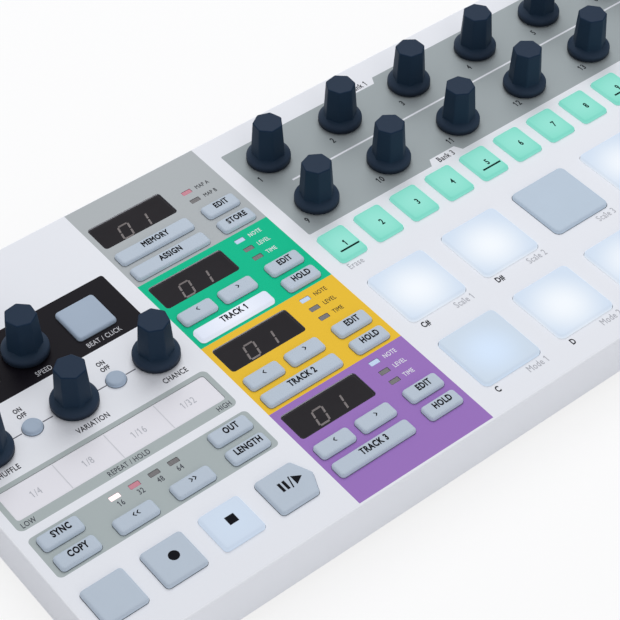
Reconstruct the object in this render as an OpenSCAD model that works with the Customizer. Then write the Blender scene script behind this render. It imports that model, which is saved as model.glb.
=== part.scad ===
// Desktop pad and step controller: a moulded cover on a steel tray, with endless knobs, step keys,
// pads, a column of four coloured key groups and a row of small sockets at the back.
// Millimetres. X runs to the right, Y to the back, Z up from the table.

/* [Case] */
// Width of the flat top panel
panel_w = 408; // [370:1:440]
// Depth of the flat top panel, front to back
panel_d = 160.5; // [145:0.5:180]
// How far each wall leans out from the panel down to its foot
wall_lean = 0.5; // [0.5:0.1:4]
// Height of the cover, from its lower edge to the panel
cover_h = 16.6; // [15:0.1:24]
// Thickness of the panel
panel_t = 2.4; // [1.8:0.1:3]
// Thickness of the cover's walls where they meet the panel
wall_t = 2.4; // [1.6:0.1:3]
// Radius of the case's upright corners
corner_r = 3; // [2:0.1:6]
// Rounding of the panel's outer edge
edge_r = 0.8; // [0.3:0.1:1.2]

/* [Tray and feet] */
// Thickness of the steel tray
tray_t = 1.2; // [0.8:0.1:2]
// Height of the tray's rim, which carries the cover
rim_h = 0.8; // [0.6:0.1:2.5]
// How far the tray's edge stays inside the cover's lower edge
tray_inset = 2; // [0.3:0.1:2.4]
// Diameter of a rubber foot
foot_d = 12; // [8:0.5:16]
// Height of a rubber foot below the tray
foot_h = 2; // [1.9:0.1:5]
// Distance of a foot's centre from the tray's corner, both ways
foot_inset = 20; // [16:1:40]

/* [Column] */
// Width of the part of the panel that lies left of the coloured column
left_w = 89; // [82:0.5:96]
// Width of the coloured column
col_w = 54; // [54:0.5:64]
// Distance of the displays and keys from the column's left edge
zone_x = 2; // [1.5:0.1:3]
// Distance of the right keys and lamps from the column's left edge
lamp_x = 37.9; // [37:0.1:39]

/* [Displays and lamps] */
// Width of a display window
display_w = 30; // [26:0.5:31]
// Depth of a display window, front to back
display_d = 11.9; // [10:0.1:12.5]
// Gap between a display and the keys in front of it
display_gap = 4.5; // [3:0.1:6]
// How far a window lies below the panel
display_sink = 0.4; // [0.2:0.1:0.9]
// Corner radius of a window
window_r = 1.3; // [0.6:0.1:2]
// Width of a lamp's lens
lamp_w = 3.8; // [3:0.1:5]
// Depth of a lamp's lens, front to back
lamp_d = 2; // [1.5:0.1:2.4]
// Pitch of the column's lamps
lamp_pitch = 5; // [4.6:0.1:5.2]
// Thickness of the collar that glues a window or lens under the panel
collar_t = 0.9; // [0.6:0.1:1.2]
// How far that collar reaches past the opening
collar_w = 0.8; // [0.6:0.1:1]

/* [Keys] */
// Width of a small key
key_w = 13.3; // [11:0.1:14]
// Depth of a small key, front to back
key_d = 6; // [5:0.1:6.4]
// Pitch of the small keys' rows
key_pitch = 9; // [8.6:0.1:9.4]
// Height of the keys above the panel
key_rise = 1.3; // [1.1:0.1:2]
// Corner radius of the keys
key_r = 1.4; // [0.5:0.1:2]
// Gap between a key and its opening
key_gap = 0.3; // [0.3:0.05:0.5]
// How far a key's lip reaches past the key, under the panel
lip_w = 0.9; // [0.8:0.1:1]
// Thickness of a key's lip
lip_t = 1; // [0.8:0.1:1.2]
// Gap between a key's lip and the panel
lip_gap = 0.2; // [0.1:0.05:0.3]
// Press travel of the keys
key_travel = 1; // [0.8:0.1:1.1]
// Diameter of the plunger under a key
plunger_d = 3; // [2:0.1:4]
// Edge length of the square keys
square_w = 14.8; // [13:0.1:15.5]
// How far the play key's point reaches past its straight sides
play_tip = 3.2; // [2:0.1:3.6]
// Diameter of a round key
round_d = 6.5; // [5.5:0.1:7.5]

/* [Steps and pads] */
// Distance of the front pads and the transport keys from the panel's front edge
front_margin = 11.4; // [11.1:0.1:13.5]
// Width of a step key
step_w = 11; // [9:0.1:12]
// Depth of a step key, front to back
step_d = 14.5; // [12:0.1:15]
// Edge length of a pad
pad_w = 24; // [22:0.1:26]
// Height of the pads above the panel
pad_rise = 1.2; // [0.8:0.1:2]
// Corner radius of the pads
pad_r = 2; // [0.8:0.1:3]
// Pitch of the two pad rows
pad_row = 35.6; // [34:0.1:37]

/* [Knobs] */
// Diameter of a knob's skirt
skirt_d = 15.8; // [14:0.1:18]
// Height of the skirt's upright rim
skirt_h = 2.3; // [1:0.1:2.5]
// Height of the cone on the rim, which the grip's flats cut into scallops
cone_h = 1.8; // [1.6:0.1:3]
// Radius of the cone's top, inside the grip
cone_top_r = 5.2; // [4.4:0.1:5.4]
// Height of a whole knob
knob_h = 16.9; // [14:0.1:20]
// Gap between a knob and the panel
knob_gap = 0.5; // [0.4:0.1:1]
// Number of flats round the grip
grip_sides = 7; // [6:1:9]
// Radius over the grip's corners at its foot
grip_foot_r = 6.3; // [5.6:0.1:6.8]
// Radius over the grip's corners at its top
grip_top_r = 5.5; // [4.6:0.1:6]
// Bevel round the top of the grip
grip_bevel = 0.4; // [0.2:0.1:0.8]
// Pitch of the two knob rows in the grey field
knob_row = 27.1; // [25:0.1:28]

/* [Encoders] */
// Edge length of an encoder's case
encoder_w = 12; // [11:0.1:13]
// Height of an encoder's case
encoder_h = 5.3; // [4.6:0.1:5.4]
// Diameter of the encoder's bush
bush_d = 7.2; // [7:0.1:9]
// Diameter of the encoder's shaft
shaft_d = 6; // [5:0.1:6]
// Radial clearance of the shaft in its bush
shaft_fit = 0.06; // [0.03:0.01:0.1]
// Radial clearance of the shaft in the knob
knob_fit = 0.04; // [0.02:0.01:0.06]
// Length of the shaft inside the knob
shaft_in = 11; // [8:0.5:13]

/* [Touch strip] */
// Depth of the touch strip, front to back
strip_d = 12.1; // [10:0.1:13]
// Thickness of the touch strip
strip_t = 1; // [0.6:0.1:1.2]
// How far the strip lies below the panel
strip_sink = 0.2; // [0.1:0.1:0.4]

/* [Board] */
// Thickness of the circuit board
board_t = 1.6; // [1.2:0.1:2]
// Gap between the board's edge and the cover's walls
board_gap = 1; // [0.5:0.1:2]

/* [Sockets] */
// Bore of a socket, for a 3.5 mm plug
jack_bore = 3.6; // [3.55:0.05:3.7]
// Depth of a socket's bore
jack_depth = 13; // [12:0.5:14]
// Diameter of a socket's threaded neck
jack_neck_d = 5.8; // [5.4:0.1:6.4]
// Width of a socket's case
jack_w = 6.6; // [6:0.1:8]
// Height of a socket's case
jack_h = 5.6; // [5:0.1:6]
// Length of a socket's case
jack_l = 12; // [11:0.5:14]
// Diameter of the nut on a socket
nut_d = 8; // [7.5:0.1:9]
// Thickness of the nut
nut_t = 1.6; // [1.2:0.1:2]
// Distance of the tray's back wall from the panel's back edge
back_inset = 3.6; // [3.5:0.1:6]
// Pitch of the sockets within a group
jack_pitch = 14; // [10:0.5:14.5]
// Width of the tray's back wall
back_w = 366; // [360:1:370]

/* [Screws] */
// Diameter of the screws
screw_d = 3; // [2.5:0.1:3]
// Diameter of the screw heads
head_d = 5.4; // [4.6:0.1:5.6]
// Height of the screw heads
head_h = 1.5; // [1.2:0.1:1.7]
// Length of the screws under their heads
screw_l = 5.5; // [4:0.1:6]
// Diameter of the bosses that take the screws
boss_d = 6.2; // [5.6:0.1:6.4]

/* [Hidden] */
$fn = 48;
FIT = 0.15;
SLOT_R = 1;
ROOT_NODES = ["top_cover", "base_tray", "main_board", "encoder_bodies", "display_modules",
    "display_windows", "lamp_lenses", "touch_strip", "jack_sockets", "jack_nuts", "usb_socket",
    "rubber_feet", "screws"];
SIDE_KNOBS = ["tempo_knob", "shuffle_knob", "variation_knob", "chance_knob"];
SQUARE_KEYS = ["shift_key", "record_key", "stop_key", "tap_key"];
ZONES = ["track_3_keypad", "track_2_keypad", "track_1_keypad", "memory_keypad"];

// Heights above the table
tray_z = foot_h;
cover_z = tray_z + tray_t + rim_h;
panel_z = cover_z + cover_h;
under_z = panel_z - panel_t;
lip_z = under_z - lip_gap;
board_z = under_z - encoder_h - 0.3;
board_low_z = board_z - board_t;
jack_z = board_low_z - jack_h / 2;
knob_z = panel_z + knob_gap;

// Places on the panel: x from the column's left edge, y from the panel's front edge
function at_x(x) = left_w - panel_w / 2 + x;
function at_y(y) = y - panel_d / 2;

// Blocks in a row share out the length that they leave free, in proportion to the gaps listed
function sum(v, n) = n == 0 ? 0 : v[n - 1] + sum(v, n - 1);
function block_start(length, blocks, gaps, i) = sum(blocks, i)
    + (length - sum(blocks, len(blocks))) * sum(gaps, i + 1) / sum(gaps, len(gaps));

// The left part: transport keys, bar keys, touch strip and two rows of knobs, from the front
left_gap = 4.3;
left_margin = 3.6;
left_x = left_margin - left_w;
left_end = -left_gap;
left_middle = (left_x + left_end) / 2;
left_blocks = [front_margin + square_w, key_pitch + key_d, strip_d, skirt_d, skirt_d];
left_gaps = [0, 9.1, 9.1, 7.8, 12.3, 37.3];
function left_row(i) = block_start(panel_d, left_blocks, left_gaps, i);
bar_key_y = left_row(1);
bar_key_w = key_w + 0.9;
bar_edge = 2.1;
strip_y = left_row(2);
strip_edge = 2;
side_knob_y = left_row(3) + skirt_d / 2;
tempo_y = left_row(4) + skirt_d / 2;
chance_x = left_end - 8.7;
shuffle_x = left_x + 9.6;
side_pitch = (chance_x - shuffle_x) / 2;
shift_x = left_x + 1.3;
play_w = square_w - 1;
play_x = left_end + 0.5 - play_tip - play_w;
square_pitch = (play_x - shift_x) / 3;
tap_x = left_end - 9.5 - square_w;
tempo_display_x = left_x + 3.4;

// The right part: two pad rows, the step row and a grey field with two knob rows, from the front
field_gap = 5.9;
field_margin = 6.4;
field_x = col_w + field_gap;
field_w = panel_w - left_w - field_x - field_margin;
field_blocks = [front_margin + pad_row + pad_w, step_d, knob_row + skirt_d];
field_gaps = [0, 11.3, 7.1, 13.7];
function field_row(i) = block_start(panel_d, field_blocks, field_gaps, i);
pad_x = field_x + 0.6;
pad_pitch = (field_w - 1.2 - pad_w) / 7;
step_x = field_x + 0.2;
step_pitch = (field_w - 0.4 - step_w) / 15;
knob_y = field_row(2) + skirt_d / 2;

// The column: four like zones, each with two key rows and a display behind them
zone_d = key_pitch + key_d + display_gap + display_d;
zone_gaps = [11.4, 4.1, 4.1, 4.1, 11.2];
function zone_front(zone) = block_start(panel_d, [for (i = [0:3]) zone_d], zone_gaps, zone);
function zone_back(zone) = zone_front(zone) + zone_d;

// Key outlines as [x, y, width, depth] from their front left corners
function wide_key(row_y) = [zone_x, row_y, display_w - 0.3, key_d];
function lamp_key(row_y) = [lamp_x, row_y, key_w, key_d];
function arrow_keys(row_y) = [
    [zone_x, row_y, key_w, key_d],
    [zone_x + display_w - 0.3 - key_w, row_y, key_w, key_d]];
function row_y(zone, row) = zone_front(zone) + key_pitch * (2 - row);
function zone_keys(zone) = concat(
    zone == 3 ? [wide_key(row_y(zone, 1))] : arrow_keys(row_y(zone, 1)),
    [lamp_key(row_y(zone, 1)), wide_key(row_y(zone, 2)), lamp_key(row_y(zone, 2))]);
bar_pitch = (left_end - left_x - 2 * bar_edge - bar_key_w) / 3;
function bar_key(i, row) = [left_x + bar_edge + i * bar_pitch, bar_key_y + row * key_pitch, bar_key_w, key_d];
bar_keys = concat([for (i = [0:3]) bar_key(i, 0)], [for (i = [0, 3]) bar_key(i, 1)]);
function square_key(i) = i == 3
    ? [tap_x, tempo_y - square_w / 2, square_w, square_w]
    : [shift_x + i * square_pitch, front_margin, square_w, square_w];
function step_key(i) = [step_x + i * step_pitch, field_row(1), step_w, step_d];
function pad(i) = [pad_x + (i % 8) * pad_pitch, front_margin + floor(i / 8) * pad_row, pad_w, pad_w];

// Round places, as [x, y], and how far each knob is turned at rest
function grid_knob(i) = [pad_x + pad_w / 2 + (i % 8) * pad_pitch, knob_y + (1 - floor(i / 8)) * knob_row];
function side_knob(i) = i == 0
    ? [chance_x - side_pitch, tempo_y]
    : [chance_x - (3 - i) * side_pitch, side_knob_y];
knob_places = concat([for (i = [0:15]) grid_knob(i)], [for (i = [0:3]) side_knob(i)]);
grid_turns = [44, 22, 28, 10, 37, 5, 18, 47, 32, 28, 6, 26, 14, 40, 20, 3];
side_turns = [20, 33, 0, 12];
round_keys = [for (i = [0, 1]) [chance_x - side_pitch * (i + 0.5), side_knob_y]];

// Every key has a plunger under its middle, over a dome of the board
dome_h = 0.3;
function middle(k) = [k[0] + k[2] / 2, k[1] + k[3] / 2];
play_middle = [play_x + play_w / 2, front_margin + square_w / 2];
plunger_places = concat(
    [for (zone = [0:3]) for (k = zone_keys(zone)) middle(k)],
    [for (k = bar_keys) middle(k)], [for (i = [0:3]) middle(square_key(i))],
    [for (i = [0:15]) middle(step_key(i))], [for (i = [0:15]) middle(pad(i))],
    round_keys, [play_middle]);

// Windows and lamps
windows = concat(
    [for (zone = [0:3]) [zone_x, zone_back(zone) - display_d, display_w, display_d]],
    [[tempo_display_x, tempo_y - display_d / 2, display_w - 5, display_d]]);
bar_lamp_pitch = lamp_w + 3.45;
bar_lamp_x = left_middle - (3 * bar_lamp_pitch + lamp_w) / 2;
bar_lamp_y = bar_key_y + key_pitch + key_d - lamp_d - 0.3;
lamps = concat(
    [for (zone = [0:3]) for (i = [(zone == 3 ? 1 : 0):2])
        [lamp_x + 0.1, zone_back(zone) - lamp_d - i * lamp_pitch, lamp_w, lamp_d]],
    [for (i = [0:3]) [bar_lamp_x + i * bar_lamp_pitch, bar_lamp_y, lamp_w, lamp_d]]);
strip = [left_x + strip_edge, strip_y, left_end - left_x - 2 * strip_edge, strip_d];

// The back wall, from its left end: a lock slot, a USB socket, two pairs of sync sockets, eight gates
// and two sets of three outputs
back_y = panel_d - back_inset;
wall_x = panel_w / 2 - left_w - back_w / 2;
jack_groups = [2, 2, 8, 3, 3];
jack_blocks = [for (n = jack_groups) (n - 1) * jack_pitch];
jack_gaps = [38, 18, 60, 28, 18, 22];
jack_x = [for (g = [0:4]) for (i = [0:jack_groups[g] - 1])
    wall_x + block_start(back_w, jack_blocks, jack_gaps, g) + i * jack_pitch];
usb_x = wall_x + 16;
usb_w = 7.6;
usb_h = 2.8;
usb_l = 5.6;
usb_wall = 0.35;
lock_x = wall_x + 5.6;
lock_w = 7;
lock_h = 3;

// Screws: four in each long edge of the tray, the rear ones in front of the sockets, and eight in the board
boss_inset = 7.8;
front_boss_y = 5.6;
rear_boss_y = back_y - tray_t - jack_l - boss_d / 2 - 0.6;
mid_x = (lamp_x + key_w + pad_x) / 2;
tray_screw_x = [boss_inset - left_w, mid_x, field_x + field_w / 2, panel_w - left_w - boss_inset];
tray_screws = [for (y = [front_boss_y, rear_boss_y]) for (x = tray_screw_x) [x, y]];
board_screws = concat(
    [for (x = [left_middle - side_pitch / 2, left_middle + side_pitch / 2]) [x, strip_y + strip_d / 2]],
    [for (zone = [0, 1]) [mid_x, zone_back(zone)]],
    [for (i = [1, 3, 5]) [pad_x + pad_w / 2 + (i + 0.5) * pad_pitch, knob_y + knob_row / 2]],
    [[left_middle + side_pitch / 2, rear_boss_y]]);

// A rectangle with round corners, from its front left corner
module rounded(w, d, r) {
    translate([r, 0]) square([w - 2 * r, d]);
    translate([0, r]) square([w, d - 2 * r]);
    for (x = [r, w - r], y = [r, d - r]) translate([x, y]) circle(r);
}

// A rounded slab over an outline [x, y, w, d] on the panel, grown on all sides
module slab(k, r, grow, z0, z1) {
    translate([at_x(k[0]) - grow, at_y(k[1]) - grow, z0])
        linear_extrude(z1 - z0) rounded(k[2] + 2 * grow, k[3] + 2 * grow, r + max(grow, 0));
}

// An upright round bar at a place [x, y] on the panel
module post(p, d, z0, z1) {
    translate([at_x(p[0]), at_y(p[1]), z0]) cylinder(h = z1 - z0, d = d);
}

// The play key's outline: a square whose right side comes to a point, with round corners
function arc(x, y, r, from, to) = [for (i = [0:6]) let (a = from + (to - from) * i / 6)
    [x + r * cos(a), y + r * sin(a)]];

module play_outline(grow) {
    half = square_w / 2;
    slope = sqrt(half * half + play_tip * play_tip);
    lean = atan2(play_tip, half);
    shoulder = play_w - key_r * (slope - play_tip) / half;
    tip = play_w + play_tip - key_r * slope / half;
    r = key_r + grow;
    translate([at_x(play_x), at_y(front_margin)])
        polygon(concat(
            arc(key_r, key_r, r, 180, 270),
            arc(shoulder, key_r, r, -90, -lean),
            arc(tip, half, r, -lean, lean),
            arc(shoulder, square_w - key_r, r, lean, 90),
            arc(key_r, square_w - key_r, r, 90, 180)));
}

module play_slab(grow, z0, z1) {
    translate([0, 0, z0]) linear_extrude(z1 - z0) play_outline(grow);
}

// Half of the cover's outer section: a leaning wall and a rounded edge, out to reach
function wall_section(reach) = concat(
    [[0, 0], [reach + wall_lean, 0]],
    [for (a = [0:22.5:90]) [reach - edge_r + edge_r * cos(a), cover_h - edge_r + edge_r * sin(a)]],
    [[0, cover_h]]);

module half_run(reach, length) {
    rotate([90, 0, 0]) translate([0, 0, -length / 2]) linear_extrude(length) polygon(wall_section(reach));
}

module cover_block() {
    for (turn = [0, 180]) rotate(turn) {
        half_run(panel_w / 2, panel_d - 2 * corner_r);
        rotate(90) half_run(panel_d / 2, panel_w - 2 * corner_r);
    }
    for (x = [-1, 1], y = [-1, 1])
        translate([x * (panel_w / 2 - corner_r), y * (panel_d / 2 - corner_r)])
            rotate_extrude() polygon(wall_section(corner_r));
}

// Openings in the panel for everything that shows through it
module panel_openings() {
    top = panel_z + 1;
    for (zone = [0:3]) for (k = zone_keys(zone)) slab(k, key_r, key_gap, under_z - 1, top);
    for (k = bar_keys) slab(k, key_r, key_gap, under_z - 1, top);
    for (i = [0:3]) slab(square_key(i), key_r, key_gap, under_z - 1, top);
    for (i = [0:15]) slab(step_key(i), key_r, key_gap, under_z - 1, top);
    for (i = [0:15]) slab(pad(i), pad_r, key_gap, under_z - 1, top);
    play_slab(key_gap, under_z - 1, top);
    for (k = windows) slab(k, window_r, 0, under_z - 1, top);
    for (k = lamps) slab(k, 0.3, 0, under_z - 1, top);
    for (p = round_keys) post(p, round_d + 2 * key_gap, under_z - 1, top);
    for (p = knob_places) post(p, bush_d + 0.6, under_z - 1, top);
    slab(strip, SLOT_R, FIT, panel_z - strip_sink - strip_t, top);
}

module top_cover() color("whitesmoke") {
    cavity_w = panel_w - 2 * wall_t;
    cavity_d = panel_d - 2 * wall_t;
    difference() {
        translate([0, 0, cover_z]) cover_block();
        translate([-cavity_w / 2, -cavity_d / 2, cover_z - 1])
            cube([cavity_w, cavity_d, under_z - cover_z + 1]);
        panel_openings();
        back_opening();
    }
    for (p = tray_screws) boss(p, tray_z + tray_t);
    for (p = board_screws) boss(p, board_z);
}

// A boss under the panel, drilled for a screw from below
module boss(p, low_z) difference() {
    post(p, boss_d, low_z, under_z);
    post(p, screw_d + 0.1, low_z - 1, under_z - 1);
}

// The gap in the cover's back wall that the tray's back wall stands in
module back_opening() {
    translate([-back_w / 2 - FIT, at_y(back_y) - tray_t - 1, cover_z - 1])
        cube([back_w + 2 * FIT, back_inset + wall_lean + tray_t + 2, board_z - cover_z + 1]);
}

// The folded steel tray: a floor, a rim under the cover and a back wall for the sockets
module base_tray() color("dimgray") {
    floor_w = panel_w + 2 * wall_lean - 2 * tray_inset;
    floor_d = panel_d / 2 + wall_lean - tray_inset;
    back_end = at_y(back_y);
    rim_w = wall_t + wall_lean - tray_inset - FIT;
    difference() {
        union() {
            translate([-floor_w / 2, -floor_d, tray_z]) cube([floor_w, floor_d + back_end, tray_t]);
            for (x = [-floor_w / 2, floor_w / 2 - rim_w])
                translate([x, -floor_d, tray_z]) cube([rim_w, floor_d + back_end, tray_t + rim_h]);
            translate([-floor_w / 2, -floor_d, tray_z]) cube([floor_w, rim_w, tray_t + rim_h]);
            translate([-back_w / 2, back_end - tray_t, tray_z])
                cube([back_w, tray_t, board_z - FIT - tray_z]);
        }
        for (p = tray_screws) post(p, screw_d + 0.4, tray_z - 1, tray_z + tray_t + 1);
        for (x = jack_x) jack_axis(x, -tray_t - 1) cylinder(h = tray_t + 2, d = jack_neck_d + 0.4);
        translate([at_x(usb_x) - usb_w / 2 - 0.4, back_end - tray_t - 1, board_low_z - usb_h - 0.4])
            cube([usb_w + 0.8, tray_t + 2, usb_h + 0.8]);
        translate([at_x(lock_x) - lock_w / 2, back_end - tray_t - 1, jack_z - lock_h / 2])
            cube([lock_w, tray_t + 2, lock_h]);
    }
}

// Turns a bar to run back along a socket's axis, from the back wall's outer face plus an offset
module jack_axis(x, offset) {
    translate([at_x(x), at_y(back_y) + offset, jack_z]) rotate([-90, 0, 0]) children();
}

// The circuit board, with a low switch dome under each key's plunger
module main_board() color("darkgreen") {
    w = panel_w - 2 * wall_t - 2 * board_gap;
    back = at_y(back_y) - tray_t - board_gap;
    front = -panel_d / 2 + wall_t + board_gap;
    for (p = plunger_places) post(p, plunger_d + 1, board_low_z + board_t / 2, board_z + dome_h);
    difference() {
        translate([-w / 2, front, board_low_z]) cube([w, back - front, board_t]);
        for (p = tray_screws) post(p, boss_d + 1, board_low_z - 1, board_z + 1);
        for (p = board_screws) post(p, screw_d + 0.4, board_low_z - 1, board_z + 1);
    }
}

// Encoders, soldered to the board, each with a bush that the shaft turns in
module encoder_bodies() color("silver") for (p = knob_places) difference() {
    union() {
        slab([p[0] - encoder_w / 2, p[1] - encoder_w / 2, encoder_w, encoder_w],
            0.6, 0, board_z, board_z + encoder_h);
        post(p, bush_d, board_z + encoder_h / 2, panel_z - 0.4);
    }
    post(p, shaft_d + 2 * shaft_fit, board_z + 1, panel_z + 1);
}

module display_modules() color("dimgray") for (k = windows)
    slab(k, 0.4, -0.5, board_z, under_z - collar_t - 0.1);

module display_windows() color("#26222a") for (k = windows) {
    slab(k, window_r, -FIT, under_z - collar_t, panel_z - display_sink);
    slab(k, window_r, collar_w, under_z - collar_t, under_z);
}

module lamp_lenses() color("lavender") for (k = lamps) {
    slab(k, 0.3, -0.1, under_z - collar_t, panel_z - display_sink);
    slab(k, 0.3, collar_w, under_z - collar_t, under_z);
}

module touch_strip() color("white")
    slab(strip, SLOT_R, 0, panel_z - strip_sink - strip_t, panel_z - strip_sink);

// Sockets under the board: a case, a threaded neck through the back wall and a plug's bore
module jack_sockets() color("#303236") for (x = jack_x) {
    neck = nut_t + tray_t + 0.6;
    difference() {
        union() {
            translate([at_x(x) - jack_w / 2, at_y(back_y) - tray_t - jack_l, board_low_z - jack_h])
                cube([jack_w, jack_l, jack_h]);
            jack_axis(x, -tray_t - 1) cylinder(h = neck + 1, d = jack_neck_d);
        }
        jack_axis(x, neck - tray_t - jack_depth) cylinder(h = jack_depth + 1, d = jack_bore);
    }
}

module jack_nuts() color("silver") for (x = jack_x) difference() {
    jack_axis(x, 0) cylinder(h = nut_t, d = nut_d);
    jack_axis(x, -1) cylinder(h = nut_t + 2, d = jack_neck_d + 0.1);
}

module usb_socket() color("silver") {
    back = at_y(back_y) + 0.4;
    mouth_w = usb_w - 2 * usb_wall;
    mouth_h = usb_h - 2 * usb_wall;
    difference() {
        translate([at_x(usb_x) - usb_w / 2, back - usb_l, board_low_z - usb_h]) cube([usb_w, usb_l, usb_h]);
        translate([at_x(usb_x) - mouth_w / 2, back - usb_l + usb_wall, board_low_z - usb_h + usb_wall])
            cube([mouth_w, usb_l, mouth_h]);
    }
    translate([at_x(usb_x) - mouth_w / 2 + 1, back - usb_l + usb_wall / 2, board_low_z - usb_h / 2 - 0.3])
        cube([mouth_w - 2, usb_l - 1.2, 0.6]);
}

module rubber_feet() color("#2b2b2d") {
    x = panel_w / 2 + wall_lean - foot_inset;
    y = panel_d / 2 + wall_lean - foot_inset;
    for (i = [-1, 1], j = [-1, 1]) translate([i * x, j * y, 0]) cylinder(h = foot_h, d = foot_d);
}

// Screws from below: through the tray into the cover, and through the board into the cover
module screws() color("#b8bac0") {
    for (p = tray_screws) screw(p, tray_z);
    for (p = board_screws) screw(p, board_low_z);
}

module screw(p, seat_z) {
    post(p, head_d, seat_z - head_h, seat_z);
    post(p, screw_d - 0.1, seat_z - 0.2, seat_z + screw_l);
}

// A knob on its shaft: skirt, cone and a tapered grip with flats
module knob(p, turn) {
    grip_z = knob_z + skirt_h;
    top_z = knob_z + knob_h;
    translate([at_x(p[0]), at_y(p[1]), 0]) {
        color("#2c3442") difference() {
            union() {
                translate([0, 0, knob_z]) cylinder(h = skirt_h, d = skirt_d);
                translate([0, 0, grip_z]) cylinder(h = cone_h, d1 = skirt_d, d2 = 2 * cone_top_r);
                rotate(turn) translate([0, 0, grip_z])
                    grip(top_z - grip_bevel - grip_z, grip_foot_r, grip_top_r);
                rotate(turn) translate([0, 0, top_z - grip_bevel])
                    grip(grip_bevel, grip_top_r, grip_top_r - grip_bevel);
            }
            translate([0, 0, knob_z - 1]) cylinder(h = shaft_in + 1.3, d = shaft_d + 2 * knob_fit);
        }
        color("silver") translate([0, 0, board_z + 1.2])
            cylinder(h = knob_z + shaft_in - board_z - 1.2, d = shaft_d);
    }
}

// A stretch of a knob's grip, with flats round it
module grip(h, low_r, high_r) {
    cylinder(h = h, r1 = low_r, r2 = high_r, $fn = grip_sides);
}

// A key: a cap through the panel, a lip under it and a plunger over the board's switch
module key(k, r, rise) {
    slab(k, r, 0, lip_z - lip_t, panel_z + rise);
    slab(k, r, lip_w, lip_z - lip_t, lip_z);
    plunger(middle(k));
}

module plunger(p) {
    post(p, plunger_d, board_z + dome_h + key_travel + 0.2, lip_z - lip_t + 0.2);
}

module play_key() color("#c3d0da") {
    play_slab(0, lip_z - lip_t, panel_z + key_rise);
    play_slab(lip_w, lip_z - lip_t, lip_z);
    plunger(play_middle);
}

// Soft keypads: one moulding whose web joins the keys of a group under the panel
module web(x0, y0, x1, y1) {
    slab([x0, y0, x1 - x0, y1 - y0], key_r, lip_w, lip_z - lip_t, lip_z);
}

module zone_keypad(zone) color("#bccbd6") {
    keys = zone_keys(zone);
    for (k = keys) slab(k, key_r, 0, lip_z - lip_t, panel_z + key_rise);
    for (k = keys) plunger(middle(k));
    web(zone_x, row_y(zone, 2), lamp_x + key_w, row_y(zone, 1) + key_d);
}

module left_keypad() color("#bccbd6") {
    for (k = bar_keys) slab(k, key_r, 0, lip_z - lip_t, panel_z + key_rise);
    for (k = bar_keys) plunger(middle(k));
    web(bar_key(0, 0)[0], bar_key_y, bar_key(3, 0)[0] + bar_key_w, bar_key_y + key_d);
    for (i = [0, 3])
        web(bar_key(i, 0)[0], bar_key_y, bar_key(i, 0)[0] + bar_key_w, bar_key_y + key_pitch + key_d);
    for (p = round_keys) {
        post(p, round_d, lip_z - lip_t, panel_z + key_rise);
        post(p, round_d + 2 * lip_w, lip_z - lip_t, lip_z);
        plunger(p);
    }
}

module pad_mat() color("#c2d2e0") {
    for (i = [0:15]) slab(pad(i), pad_r, 0, lip_z - lip_t, panel_z + pad_rise);
    for (i = [0:15]) plunger(middle(pad(i)));
    web(pad_x, front_margin, pad_x + 7 * pad_pitch + pad_w, front_margin + pad_row + pad_w);
}

top_cover();
base_tray();
main_board();
encoder_bodies();
display_modules();
display_windows();
lamp_lenses();
touch_strip();
jack_sockets();
jack_nuts();
usb_socket();
rubber_feet();
screws();
for (i = [0:15]) knob(grid_knob(i), grid_turns[i]);
for (i = [0:3]) knob(side_knob(i), side_turns[i]);
for (i = [0:15]) color("#91e8d4") key(step_key(i), key_r, key_rise);
for (i = [0:3]) color("#c3d0da") key(square_key(i), key_r, key_rise);
play_key();
pad_mat();
for (i = [0:3]) zone_keypad(i);
left_keypad();
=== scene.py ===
import math

import bmesh
import bpy
from mathutils import Matrix, Quaternion, Vector


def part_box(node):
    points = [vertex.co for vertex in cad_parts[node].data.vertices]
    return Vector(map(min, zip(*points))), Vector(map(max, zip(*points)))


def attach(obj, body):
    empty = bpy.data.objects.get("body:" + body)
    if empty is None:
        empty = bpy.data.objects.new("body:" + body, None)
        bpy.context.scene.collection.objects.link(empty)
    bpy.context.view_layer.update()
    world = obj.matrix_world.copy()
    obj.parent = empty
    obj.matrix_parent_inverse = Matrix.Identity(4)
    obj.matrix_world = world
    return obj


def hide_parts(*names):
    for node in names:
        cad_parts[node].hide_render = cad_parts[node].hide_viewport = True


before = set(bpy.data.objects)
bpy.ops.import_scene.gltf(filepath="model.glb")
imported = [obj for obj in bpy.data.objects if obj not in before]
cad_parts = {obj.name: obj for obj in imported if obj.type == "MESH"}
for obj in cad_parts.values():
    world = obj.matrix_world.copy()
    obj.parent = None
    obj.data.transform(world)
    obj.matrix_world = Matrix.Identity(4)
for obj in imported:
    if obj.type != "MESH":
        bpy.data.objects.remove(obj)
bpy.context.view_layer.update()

# Places on the panel are in millimetres: x from the coloured column's left edge, y from a line
# just behind the panel's front edge. All else is in metres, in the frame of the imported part.
MM = 0.001
WALL_LEAN = 0.5 * MM
FRONT_LIP = 1.5 * MM
LEFT_WIDTH = 89 * MM
COVER_LOW, COVER_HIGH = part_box("top_cover")
TOP_Z = COVER_HIGH.z
FRONT_Y = COVER_LOW.y + WALL_LEAN + FRONT_LIP
COLUMN_X = COVER_LOW.x + WALL_LEAN + LEFT_WIDTH
FRONT_EDGE = -FRONT_LIP / MM
BACK_EDGE = (COVER_HIGH.y - WALL_LEAN - FRONT_Y) / MM
LEFT_EDGE = -LEFT_WIDTH / MM
RIGHT_EDGE = (COVER_HIGH.x - WALL_LEAN - COLUMN_X) / MM
SAME_PLANE = 0.01 * MM
SAME_POINT, WELD = SAME_PLANE / 10, SAME_PLANE / 5
UNDER_PANEL = TOP_Z - 2.6 * MM
PRINT_LIFT = 0.02 * MM

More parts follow.
